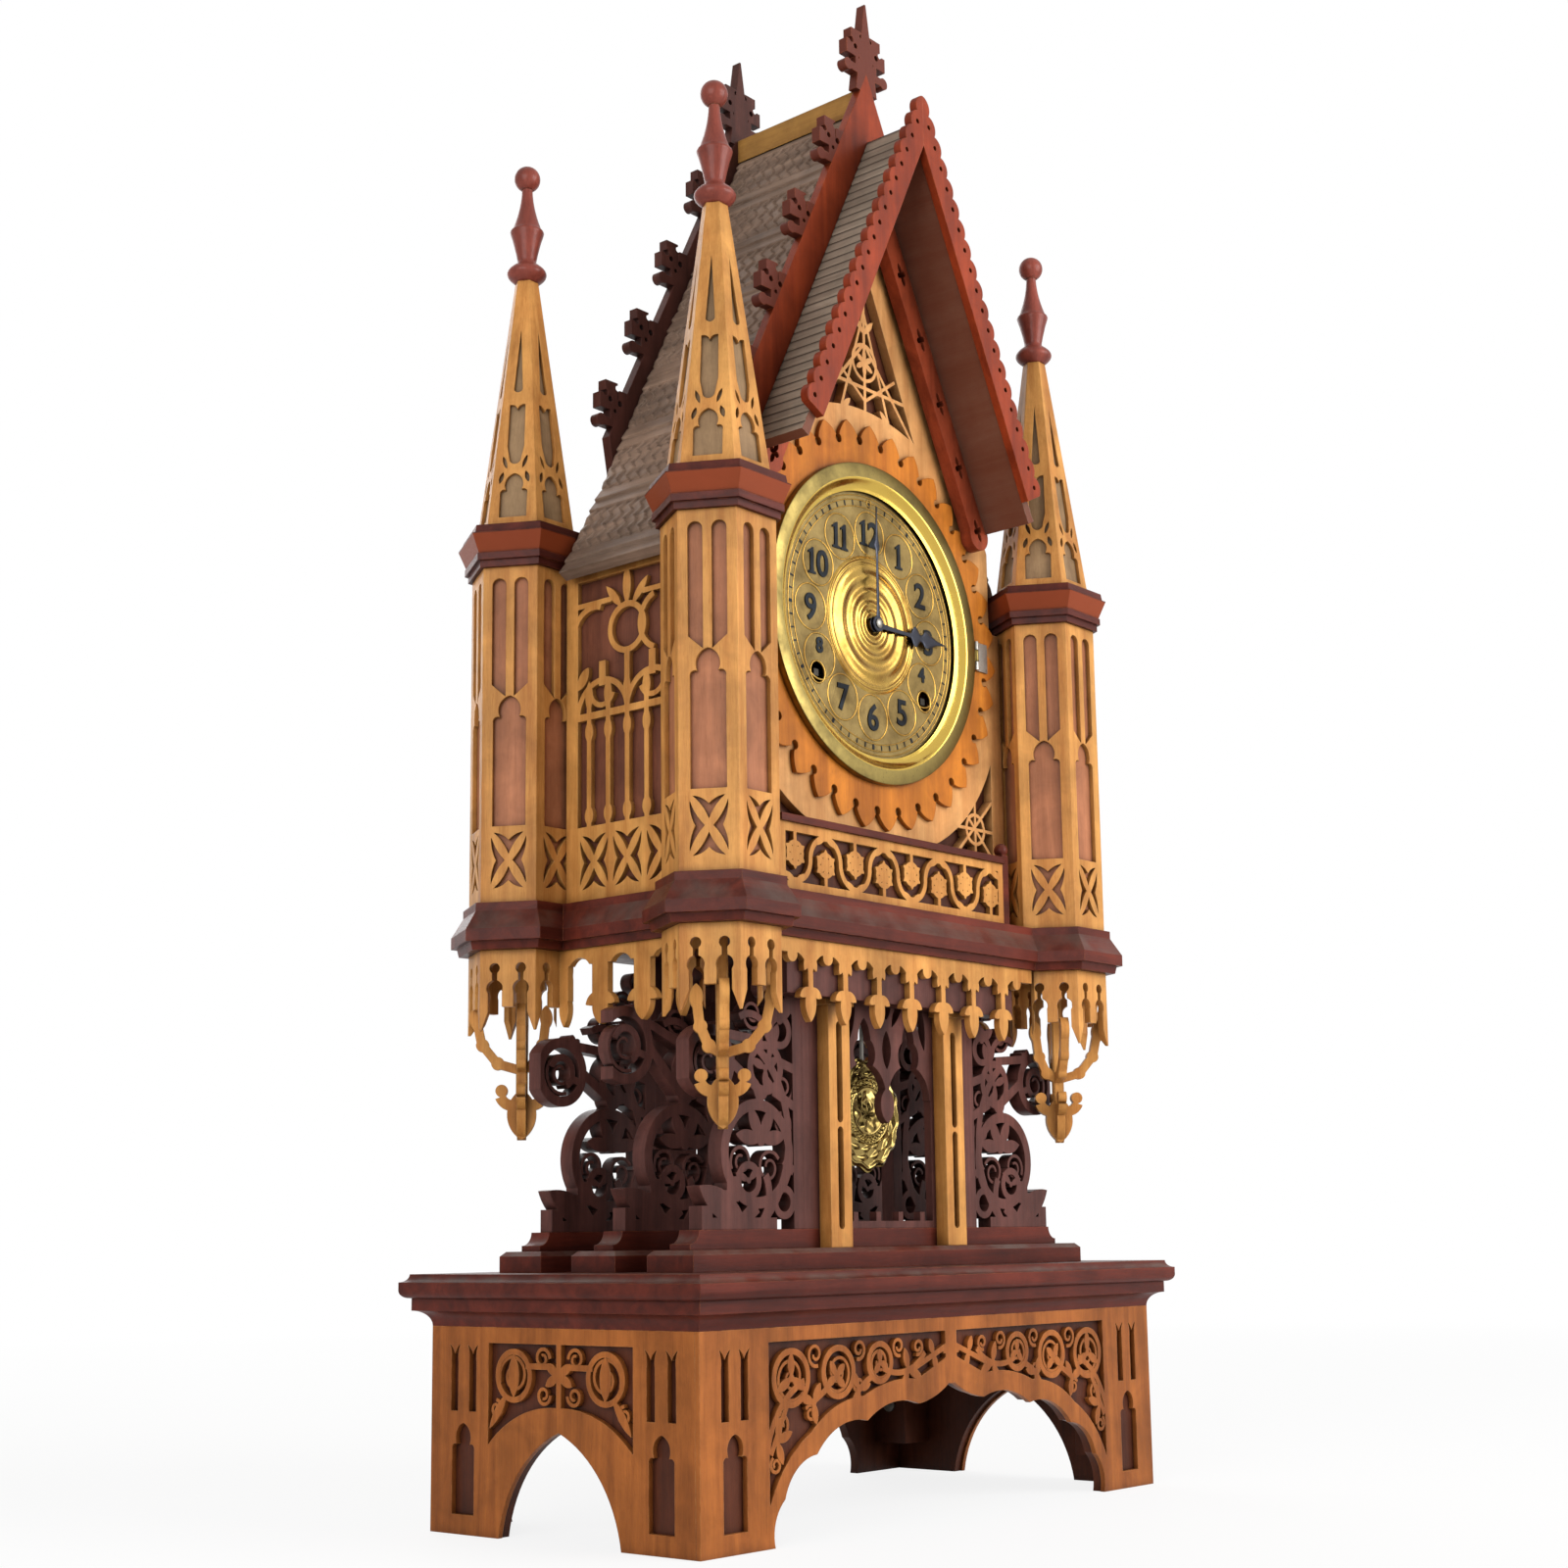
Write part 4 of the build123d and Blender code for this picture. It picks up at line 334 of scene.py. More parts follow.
def metal(name, bright, dull, stipple=0.0, rough=0.0, shade_strength=0.6, polish=None):
    """Aged metal between a bright and a dull colour.
    stipple: depth of a hammered ground; rough: added dullness; shade_strength: strength of the painted
    shade in corners;
    polish: (radius, colour) inside which, about the dial's axis, the metal is bright."""
    material, tree, shader, spot = new_material(name)
    age = add(tree, "Group", {"Vector": spot, "Bright": bright, "Dull": dull}, node_tree=TARNISH)
    shade = add(tree, "Group", {"Vector": spot, "Reach": METAL_REACH * MM}, node_tree=PAINTED_SHADE)
    # Painted shade: corners and recesses darkened where the occlusion mask finds them
    paint = blend(tree, product(tree, shade.outputs["Mask"], shade_strength), age.outputs["Color"],
                  shaded(dull, METAL_SHADE_TONE))
    dullness = calc(tree, "ADD", age.outputs["Roughness"], rough, clamp=True)
    if polish:
        radius, polished = polish
        across, _, up = axes(tree, spot)
        away = calc(tree, "POWER", calc(tree, "SUBTRACT", across, DIAL_X), 2.0)
        away = calc(tree, "ADD", away, calc(tree, "POWER", calc(tree, "SUBTRACT", up, DIAL_Z), 2.0))
        inside = spread(tree, calc(tree, "SQRT", away), radius + POLISH_SOFTNESS * MM, radius)
        paint = blend(tree, product(tree, inside, POLISH_TINT), paint, polished)
        dullness = calc(tree, "SUBTRACT", dullness, product(tree, inside, POLISH_GLOSS), clamp=True)
    height = age.outputs["Height"]
    if stipple:
        pits = add(tree, "TexVoronoi", {"Vector": spot, "Scale": STIPPLE_PIT}).outputs["Distance"]
        height = calc(tree, "ADD", product(tree, height, SCRATCH_SHARE), pits)
    bump = add(tree, "Bump", {"Height": height, "Strength": METAL_RELIEF + stipple,
                              "Distance": RELIEF_DEPTH * MM})
    tree.links.new(paint, shader.inputs["Base Color"])
    tree.links.new(dullness, shader.inputs["Roughness"])
    tree.links.new(bump.outputs[0], shader.inputs["Normal"])
    shader.inputs["Metallic"].default_value = 1.0
    return material


# Finishes

DARK_RUB = colour(150, 84, 50)
GREY_DUST = colour(98, 86, 78)
# Dark brown of the painted shade on the petals' edges
PETAL_EDGE_SHADE = colour(104, 54, 24)
CAP_LIT_BAND = (8.0, 18.5)          # the cap's bevel level over its foot, painted lighter as a painted highlight
CREST_LIFT = 18.2               # the front verge's line over the roof's ridge
BOARD_W = 110.0 / 34            # a lapped board of the porch roof, across
COVE_R = 86.2                   # where the bezel's flange ends and its bright cove begins

honey = wood("honey_wood", colour(214, 156, 86), colour(156, 94, 42), edge_tint=colour(228, 180, 116),
             edge_share=0.4)
wall_honey = wood("wall_wood", colour(214, 160, 102), colour(172, 114, 64), edge_tint=colour(226, 182, 128))
base_honey = wood("base_fret_wood", colour(172, 102, 48), colour(112, 60, 28),
                  edge_tint=colour(210, 150, 92), edge_share=0.55, shade_strength=0.7, reach=6.0)
core_pink = wood("turret_core_wood", colour(184, 121, 86), colour(134, 83, 57))
core_grey = wood("spire_core_wood", colour(166, 136, 100), colour(120, 92, 66))
backing = wood("backing_wood", colour(98, 52, 33), colour(56, 28, 20))
wall_brown = wood("side_wall_wood", colour(126, 75, 55), colour(74, 42, 33))
bracket = wood("bracket_wood", colour(104, 63, 56), colour(58, 34, 31), edge_tint=colour(124, 86, 74),
               edge_share=0.35)
moulding = wood("moulding_wood", colour(104, 42, 29), colour(54, 21, 16), grain="X", edge_tint=DARK_RUB,
                edge_share=0.7, gloss=0.05, dusty=GREY_DUST)
# The caps' band: a painted highlight, the lit look of the bevel laid all round it
cap_wood = wood("cap_wood", colour(96, 40, 29), colour(52, 21, 17), grain="X", edge_tint=DARK_RUB,
                gloss=0.05, band=(cap_foot + CAP_LIT_BAND[0] * MM, cap_foot + CAP_LIT_BAND[1] * MM,
                                  colour(138, 62, 30)))
verge_red = wood("verge_wood", colour(154, 64, 33), colour(104, 38, 21), edge_tint=colour(184, 102, 62),
                 gloss=0.03, crest=(roof_high.z + CREST_LIFT * MM, colour(88, 44, 34)))
rear_brown = wood("rear_verge_wood", colour(88, 50, 42), colour(54, 29, 25))
barge_red = wood("bargeboard_wood", colour(148, 58, 28), colour(98, 34, 18), edge_tint=colour(190, 104, 62),
                 gloss=0.04)
inner_red = wood("inner_board_wood", colour(160, 72, 44), colour(106, 44, 27))
# Painted shade in the shingles' carved grooves, with a short reach
shingle = wood("shingle_wood", colour(156, 129, 110), colour(78, 61, 51), grain="Y",
               edge_tint=colour(164, 140, 120), shade_strength=1.0, reach=2.5, gloss=0.0)
clapboard = wood("clapboard_wood", colour(168, 152, 134), colour(120, 104, 90), grain="Y", gloss=0.0,
                 under=colour(98, 43, 23), courses=BOARD_W * MM)
ridge_gold = wood("ridge_wood", colour(164, 120, 62), colour(114, 76, 38), grain="Y")
# On the petals the edge colour is painted shade along their edges
petal_amber = wood("petal_wood", colour(200, 122, 42), colour(140, 74, 23), edge_tint=PETAL_EDGE_SHADE, edge_share=0.5,
                   gloss=0.04)
finial_red = wood("finial_wood", colour(146, 72, 58), colour(92, 40, 33), edge_tint=colour(182, 120, 90),
                  gloss=0.2)
dial_brass = metal("dial_brass", colour(120, 101, 61), colour(84, 69, 41), stipple=0.4, rough=0.2)
bright_brass = metal("bright_brass", colour(188, 152, 76), colour(114, 82, 36), shade_strength=0.85)
bezel_brass = metal("bezel_brass", colour(136, 118, 66), colour(86, 74, 43), rough=0.12,
                    polish=(COVE_R * MM, colour(218, 182, 84)))
aged_brass = metal("aged_brass", colour(184, 152, 80), colour(112, 88, 44), rough=0.10)
blued_steel = metal("blued_steel", colour(58, 60, 68), colour(34, 34, 38), rough=0.12)
arbor_steel = metal("arbor_steel", colour(66, 62, 56), colour(38, 35, 32), rough=0.3)
bob_brass = metal("bob_brass", colour(162, 140, 82), colour(98, 80, 44), shade_strength=0.9)
plain_steel = metal("plain_steel", colour(164, 160, 152), colour(104, 98, 90), rough=0.15)
numeral_black = metal("numeral_enamel", colour(36, 40, 44), colour(22, 22, 24), rough=0.2)

FINISHES = {
    honey: ["turret_frets", "spire_frets", "turret_aprons", "turret_pendants", "front_apron",
            "side_aprons", "side_gate_frets", "balustrade_fret", "front_posts"],
    wall_honey: ["front_wall"],
    base_honey: ["base_front_fret", "base_side_frets"],
    core_pink: ["turret_cores"],
    core_grey: ["spire_cores"],
    backing: ["base_backings", "base_rear_board", "base_corner_blocks", "back_panel", "dark_linings",
              "movement_cleats"],
    wall_brown: ["side_walls"],
    bracket: ["scroll_brackets", "tracery_screens", "front_lintel", "crenel_sill"],
    moulding: ["base_plate", "base_cove", "plinth_feet", "plinth_bars", "belt_moulding",
               "balustrade_rail"],
    cap_wood: ["turret_caps"],
    verge_red: ["front_verge"],
    rear_brown: ["rear_verge"],
    barge_red: ["porch_bargeboards"],
    inner_red: ["inner_bargeboards"],
    shingle: ["roof_slopes"],
    clapboard: ["porch_roof"],
    ridge_gold: ["ridge_board"],
    petal_amber: ["petal_ring"],
    finial_red: ["turned_finials"],
    dial_brass: ["dial"],
    aged_brass: ["bezel", "pendulum_bob", "movement_frame", "centre_arbor", "hour_wheel",
                 "minute_wheel", "escape_wheel", "strike_bell"],
    arbor_steel: ["time_winding_arbor", "strike_winding_arbor"],
    plain_steel: ["mainsprings", "verge_crutch", "strike_hammer", "base_screws", "pendulum_rod",
                  "bezel_hinge"],
    blued_steel: ["hour_hand", "minute_hand"],
}
for finish, names in FINISHES.items():
    for name in names:
        mesh = frame["nodes"][name].data
        mesh.materials.clear()
        mesh.materials.append(finish)


# Surfaces

MERGE = 1e-6                    # points nearer than this, in metres, are one
SHARP = 38.0                    # edges that turn by more degrees than this stay sharp


def quads(rows, columns, loop_rows=False, loop_columns=False):
    """Faces of a grid of points, row by row, closed round either way where asked."""
    r = np.arange(rows if loop_rows else rows - 1)[:, None]
    c = np.arange(columns if loop_columns else columns - 1)[None, :]
    r2, c2 = (r + 1) % rows, (c + 1) % columns
    corners = [r * columns + c, r2 * columns + c, r2 * columns + c2, r * columns + c2]
    return np.stack([np.broadcast_to(k, (r.size, c.size)) for k in corners], -1).reshape(-1, 4)


def capped_tube(rows, sides):
    """Faces of a row of closed sections: the tube through them, then its two ends."""
    first = np.arange(sides)
    ends = np.stack([first[::-1], first + (rows - 1) * sides])
    return [quads(rows, sides, loop_columns=True), ends]


def slab(outline, axis, levels):
    """Flat outline carried through a thickness: its loop at each level of the axis that it lacks."""
    loops = np.stack([np.insert(outline, axis, level, axis=1) for level in levels])
    return loops, capped_tube(len(levels), len(outline))


def piece(name, patches, finish, body, replaces=(), smooth=True):
    """One closed mesh from patches, each its points and its arrays of faces:
    doubles are merged and normals turned outwards."""
    points, faces, start = [], [], 0
    for spots, grids in patches:
        spots = spots.reshape(-1, 3)
        points.append(spots)
        for grid in grids:
            faces += (grid + start).tolist()
        start += len(spots)
    mesh = bpy.data.meshes.new(name)
    mesh.from_pydata(np.concatenate(points).tolist(), [], faces)
    work = bmesh.new()
    work.from_mesh(mesh)
    bmesh.ops.remove_doubles(work, verts=work.verts, dist=MERGE)
    bmesh.ops.recalc_face_normals(work, faces=work.faces)
    work.to_mesh(mesh)
    work.free()
    mesh.polygons.foreach_set("use_smooth", np.full(len(mesh.polygons), smooth))
    mesh.materials.append(finish)
    obj = bpy.data.objects.new(name, mesh)
    scene.collection.objects.link(obj)
    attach(obj, body)
    if replaces:
        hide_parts(*replaces)
    if smooth:
        mesh.set_sharp_from_angle(angle=radians(SHARP))


def turned(profile, centre, axis, segments, closed=False):
    """Lathe surface: profile of (radius, height) pairs swept round an axis;
    closed joins the profile's ends in a ring."""
    turn = np.linspace(0, 2 * pi, segments, endpoint=False)
    r, h = profile[:, :1], profile[:, 1:]
    a, b = r * np.cos(turn), r * np.sin(turn)
    h = np.broadcast_to(h, a.shape)
    points = np.stack([a, b, h], -1) if axis == "Z" else np.stack([a, -h, b], -1)
    return points + np.asarray(centre), [quads(len(profile), segments, closed, True)]


def arc(centre, radius, start, end, count):
    """Points of a circular arc, angles in degrees."""
    t = np.radians(np.linspace(start, end, count))
    return np.stack([centre[0] + radius * np.cos(t), centre[1] + radius * np.sin(t)], -1)


def ridge(value, at, wide):
    """Bell curve of height one: the round ridge that stands where a value passes a place."""
    return np.exp(-((value - at) / wide) ** 2)


# Turned finials. Radii and heights over the spire's top, mm
BEAD_NECK, BEAD_SWELL, BEAD_TOP = 6.6, 4.9, 11.6
CUP = [(5.9, 12.2), (5.5, 13.4), (5.6, 14.6), (6.6, 19.5), (8.2, 26.0), (9.6, 30.4), (9.9, 31.6),
       (9.5, 32.6), (8.6, 33.2)]
TAPER_NECK, TAPER_HOLLOW = 3.1, 1.8
BALL_R, BALL_SEAT = 7.6, 1.86


def turned_finials():
    """Four turned finials: a bead whose radius is a half sine of height, a waisted cup,
    a taper that narrows as a power of height, and a ball."""
    low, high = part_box("turned_finials")
    tall = (high.z - low.z) / MM
    t = np.linspace(0, 1, 15)
    bead = np.stack([BEAD_NECK + BEAD_SWELL * np.sin(pi * t), BEAD_TOP * t], -1)
    rim, rim_z = CUP[-1]
    t = np.linspace(0, 1, 16)[1:]
    taper = np.stack([TAPER_NECK + (rim - TAPER_NECK) * (1 - t) ** TAPER_HOLLOW,
                      rim_z + (tall - BALL_SEAT * BALL_R - rim_z) * t], -1)
    ball = arc((0, tall - BALL_R), BALL_R, -62, 90, 18)
    profile = np.concatenate([[[0, 0]], bead, CUP, taper, ball]) * MM
    profile[-1, 0] = 0.0
    reach = (BEAD_NECK + BEAD_SWELL) * MM
    spots = [(x, y, low.z) for x in (low.x + reach, high.x - reach)
             for y in (low.y + reach, high.y - reach)]
    patches = [turned(profile, spot, "Z", 48) for spot in spots]
    piece("finials_turned", patches, finial_red, "case", ["turned_finials"])


# Bezel, mm: widths in from its rim, heights over its back, and the knuckle of its hinge
COVE_W, COVE_FOOT = 5.9, 0.5
KNUCKLE = np.array([(0.86, -3.5), (1.35, -3.5), (1.5, -3.3), (1.5, 3.3), (1.35, 3.5), (0.86, 3.5)])
TAB = np.array([(-0.6, -3.5), (0.6, -3.5), (0.6, 3.5), (-0.6, 3.5)])
TAB_ENDS = np.array([-4.9, -1.3])


def bezel_ring():
    """Spun bezel: flat flange, bead, cove that falls to the dial as a sine of its width,
    and the knuckle of its hinge."""
    low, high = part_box("bezel")
    back, deep = high.y, (high.y - low.y) / MM
    outer = (high.z - low.z) / 2 / MM
    flange = [(outer, 0.2), (outer, deep - 0.9), (outer - 0.3, deep - 0.3), (outer - 1.0, deep),
              (outer - 8.4, deep), (outer - 8.8, deep), (outer - 9.6, deep - 0.25)]
    lip, lip_h = flange[-1]
    t = np.linspace(0, 1, 14)[1:]
    cove = np.stack([lip - COVE_W * t, lip_h - (lip_h - COVE_FOOT) * np.sin(t * pi / 2)], -1)
    inner = [(outer - 16.0, 0.3), (outer - 14.6, 0.05), (outer - 1.4, 0.05)]
    profile = np.concatenate([flange, cove, inner]) * MM
    pin = next(j for j in frame["joints"] if j["name"] == "bezel_hinge")["pos_m"]
    patches = [turned(profile, (DIAL_X, back, DIAL_Z), "Y", 192, True),
               turned(KNUCKLE * MM, (pin[0], pin[1], DIAL_Z), "Z", 24, True),
               slab(TAB * MM + (pin[1], DIAL_Z), 0, TAB_ENDS * MM + pin[0])]
    piece("bezel_spun", patches, bezel_brass, "bezel", ["bezel"])


# Dial, mm: radii from its centre; rings are (radius, half width, height)
ROSETTE_BORE, ROSETTE_R = 4.3, 41.0
ROSETTE_FOOT, ROSETTE_DOME = 0.2, 0.5
ROSETTE_RIDGES = ((39.4, 0.8, 0.8), (36.6, 0.7, 0.4), (28.8, 3.4, 1.5), (19.6, 2.4, 1.4),
                  (12.6, 1.8, 1.2), (7.2, 1.5, 1.3))
NUMERAL_R = 55.0
NUMERAL_RING = (13.4, 0.55, 0.45)
TRACK_R = (70.6, 74.6)
DIAL_EDGE_R = 77.2
TRACK_RING = (0.4, 0.35)
WINDING_HOLE = (49.5, -37.0)
HOLE_COLLAR = (6.4, 0.6, 0.55)
TOP_PIN_R = 74.0
TOP_PIN_COLLAR = (2.0, 0.4, 0.5)
TICK_HALF, FIFTH_HALF = 0.45, 0.9
TICK_MARGIN, TICK_THICK = 0.5, 0.22


def dial_rosette():
    """Polished centre of the dial: a shallow dome with raised rings; height is a sum of bell curves."""
    r = np.linspace(ROSETTE_BORE, ROSETTE_R, 150)
    height = ROSETTE_FOOT + ROSETTE_DOME * (1 - (r / ROSETTE_R) ** 2)
    height += sum(tall * ridge(r, at, wide) for at, wide, tall in ROSETTE_RIDGES)
    height[-1] = 0.0
    profile = np.concatenate([[[ROSETTE_BORE, 0.0]], np.stack([r, height], -1)]) * MM
    patch = turned(profile, (DIAL_X, DIAL_FRONT, DIAL_Z), "Y", 160, True)
    piece("dial_rosette", [patch], bright_brass, "case")


def ridge_ring(across, up, ring, segments):
    """Thin raised ring of half-round section at a place on the dial."""
    radius, wide, tall = ring
    t = np.linspace(0, pi, 7)
    profile = np.stack([radius - wide * np.cos(t), tall * np.sin(t)], -1) * MM
    return turned(profile, (DIAL_X + across * MM, DIAL_FRONT, DIAL_Z + up * MM), "Y", segments, True)


def dial_relief():
    """Raised lines of the dial: a ring round each numeral, the minute track and the holes' collars."""
    patches = []
    for hour in range(12):
        a = radians(90 - 30 * hour)
        patches.append(ridge_ring(NUMERAL_R * cos(a), NUMERAL_R * sin(a), NUMERAL_RING, 60))
    for radius in TRACK_R + (DIAL_EDGE_R,):
        patches.append(ridge_ring(0, 0, (radius,) + TRACK_RING, 180))
    for side in (-1, 1):
        patches.append(ridge_ring(side * WINDING_HOLE[0], WINDING_HOLE[1], HOLE_COLLAR, 48))
    patches.append(ridge_ring(0, TOP_PIN_R, TOP_PIN_COLLAR, 24))
    piece("dial_relief", patches, bright_brass, "case")


def on_dial(loops):
    """Points given in mm across, behind and above the dial's centre, put in their place."""
    return loops * MM + (DIAL_X, DIAL_FRONT, DIAL_Z)


def minute_ticks():
    """Dark bars between the two lines of the minute track, one a minute, wider each fifth."""
    foot, head = TRACK_R[0] + TICK_MARGIN, TRACK_R[1] - TICK_MARGIN
    patches = []
    for minute in range(60):
        a = radians(6 * minute)
        half = FIFTH_HALF if minute % 5 == 0 else TICK_HALF
        bar = np.array([(-half, foot), (half, foot), (half, head), (-half, head)])
        bar = bar @ np.array([(cos(a), -sin(a)), (sin(a), cos(a))])
        loops, faces = slab(bar, 1, (0.0, -TICK_THICK))
        patches.append((on_dial(loops), faces))
    piece("minute_ticks", patches, numeral_black, "case", smooth=False)


def mesh_patch(source, place):
    """Points and faces of an object's finished mesh, carried by a matrix."""
    graph = bpy.context.evaluated_depsgraph_get()
    mesh = bpy.data.meshes.new_from_object(source.evaluated_get(graph))
    mesh.transform(place)
    points = np.empty(len(mesh.vertices) * 3)
    mesh.vertices.foreach_get("co", points)
    faces = [np.array([p.vertices]) for p in mesh.polygons]
    bpy.data.meshes.remove(mesh)
    return points, faces


# Numerals, mm
FIGURE_SIZE = 21.5
SMALL_FIGURE = 12.0
SMALL_LIFT = 6.5
FIGURE_W = 10.4
FIGURE_GAP = 0.9
FIGURE_DROP = 0.041             # share of its size by which a letterform stands low in its line
FIGURE_BED = 0.2                # how far the middle of a figure stands off the dial
FIGURE_HALF, FIGURE_ROUND, FIGURE_BOLD = 0.25, 0.12, 0.35
ONE_W = 6.6
ONE_OUTLINE = np.array([(-3.3, -7.8), (3.3, -7.8), (3.3, -6.6), (1.5, -6.1), (1.5, 7.8), (0.4, 7.8),
                        (-3.3, 5.2), (-3.3, 3.9), (-1.5, 4.6), (-1.5, -6.1), (-3.3, -6.6)])


def serif_one(across, up):
    """Figure one with a flag and a foot: its outline carried through the thickness of the numerals."""
    half = FIGURE_HALF + FIGURE_ROUND
    loops, faces = slab(ONE_OUTLINE + (across, up), 1, (half - FIGURE_BED, -half - FIGURE_BED))
    return on_dial(loops), faces


def plain_figure(mark, across, up, size):
    """Any other figure: a letterform with rounded edges, made a mesh and set on the dial."""
    words = bpy.data.curves.new("numeral", "FONT")
    words.body = mark
    words.align_x, words.align_y = "CENTER", "CENTER"
    words.extrude = FIGURE_HALF * MM
    words.bevel_depth = FIGURE_ROUND * MM
    words.offset = FIGURE_BOLD * MM
    words.resolution_u = 6
    words.size = size * MM
    obj = bpy.data.objects.new("numeral", words)
    scene.collection.objects.link(obj)
    bpy.context.view_layer.update()
    middle = on_dial(np.array([across, -FIGURE_BED, up - FIGURE_DROP * size]))
    patch = mesh_patch(obj, Matrix.Translation(middle) @ Matrix.Rotation(radians(90), 4, "X"))
    bpy.data.objects.remove(obj)
    bpy.data.curves.remove(words)
    return patch


def dial_numerals():
    """Upright numerals, one in each ring; those beside a winding hole are small and set above it."""
    patches = []
    for hour in range(1, 13):
        beside_hole = hour in (4, 8)
        a = radians(90 - 30 * hour)
        up = NUMERAL_R * sin(a) + (SMALL_LIFT if beside_hole else 0.0)
        widths = [ONE_W if mark == "1" else FIGURE_W for mark in str(hour)]
        across = NUMERAL_R * cos(a) - (sum(widths) + FIGURE_GAP * (len(widths) - 1)) / 2
        for mark, width in zip(str(hour), widths):
            middle = across + width / 2
            across += width + FIGURE_GAP
            if mark == "1":
                patches.append(serif_one(middle, up))
            else:
                size = SMALL_FIGURE if beside_hole else FIGURE_SIZE
                patches.append(plain_figure(mark, middle, up, size))
    piece("dial_numerals", patches, numeral_black, "case", smooth=False)


# Hands, mm: (place from the centre, half width) along each blade
HOUR_BLADE = np.array([(3.5, 2.6), (8, 1.7), (30, 1.2), (34, 1.6), (36.5, 5.6), (39, 6.4), (41, 4.6),
                       (43, 2.0), (45, 2.4), (47.5, 4.8), (50, 5.4), (54, 3.8), (60, 1.4), (68, 0.25)])
MINUTE_BLADE = np.array([(3.5, 2.0), (8, 1.3), (40, 0.9), (44, 1.2), (47, 2.8), (50, 1.6), (54, 1.0),
                         (71, 0.25)])
BLADE_STEPS, BLADE_SIDES = 220, 12
BLADE_SQUARENESS = 0.6
COLLET = np.array([(1.4, -0.4), (4.6, -0.4), (4.9, 0.0), (4.6, 0.4), (1.4, 0.4)])
NUT = np.array([(0, 0), (2.6, 0), (2.8, 0.5), (2.2, 1.0), (1.0, 1.3), (0, 1.35)])


def hand_blade(node, outline, turn, body):
    """Hand: a flattened round section carried along its length, as wide as the outline's curve."""
    low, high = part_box(node)
    middle, half = (low.y + high.y) / 2, (high.y - low.y) / 2
    s = np.linspace(0, outline[-1, 0], BLADE_STEPS)
    w = np.interp(s, outline[:, 0], outline[:, 1]) * MM
    t = np.linspace(0, 2 * pi, BLADE_SIDES, endpoint=False)
    squarish = np.sign(np.sin(t)) * np.abs(np.sin(t)) ** BLADE_SQUARENESS
    across = w[:, None] * np.cos(t)[None, :]
    depth = np.broadcast_to(half * squarish, across.shape)
    along = np.broadcast_to((s * MM)[:, None], across.shape)
    x = along * sin(turn) + across * cos(turn)
    z = along * cos(turn) - across * sin(turn)
    points = np.stack([DIAL_X + x, middle + depth, DIAL_Z + z], -1)
    patches = [(points, capped_tube(BLADE_STEPS, BLADE_SIDES)),
               turned(COLLET * MM, (DIAL_X, middle, DIAL_Z), "Y", 40, True)]
    piece(node + "_blade", patches, blued_steel, body, [node])


def clock_hands():
    """Hour hand to three o'clock and minute hand up, each a slim stem with a spade and a needle
    point, and the turned nut that holds them."""
    hand_blade("hour_hand", HOUR_BLADE, pi / 2, "hour")
    hand_blade("minute_hand", MINUTE_BLADE, 0.0, "minute")
    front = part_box("minute_hand")[0].y
    patch = turned(NUT * MM, (DIAL_X, front, DIAL_Z), "Y", 24)
    piece("hand_nut", [patch], plain_steel, "minute")


# Bob: grid, outline and embossing. Heights in mm, places as shares of the bob or of its oval;
# rings are (place, width, height)
BOB_RINGS, BOB_SPOKES = 110, 360
BOB_LIFT = 1.0
BOB_GROUND = 3.4
BOB_LOBES, LOBE_DEPTH = 13, 0.07
NOTCH_ANGLES, NOTCH_DEPTH, NOTCH_W = (50, 130), 0.16, 0.13
OVAL_W, OVAL_H, OVAL_LIFT = 0.62, 0.56, 2.0
OVAL_RINGS = ((1.0, 0.05, 1.2), (0.78, 0.04, 1.0))
OVAL_BEADS, BEAD_PLACE, BEAD_W, BEAD_TALL = 34, 0.89, 0.05, 1.3
FLOWER_PETALS, FLOWER_EDGE, FLOWER_TALL = 6, 0.76, 0.7
LEAF_EDGE, LEAF_GROUND, LEAF_TALL = 1.05, 0.5, 1.3
RIM_PLACE, RIM_W, RIM_TALL = 0.93, 0.03, 0.9
BOB_DOME = 0.6


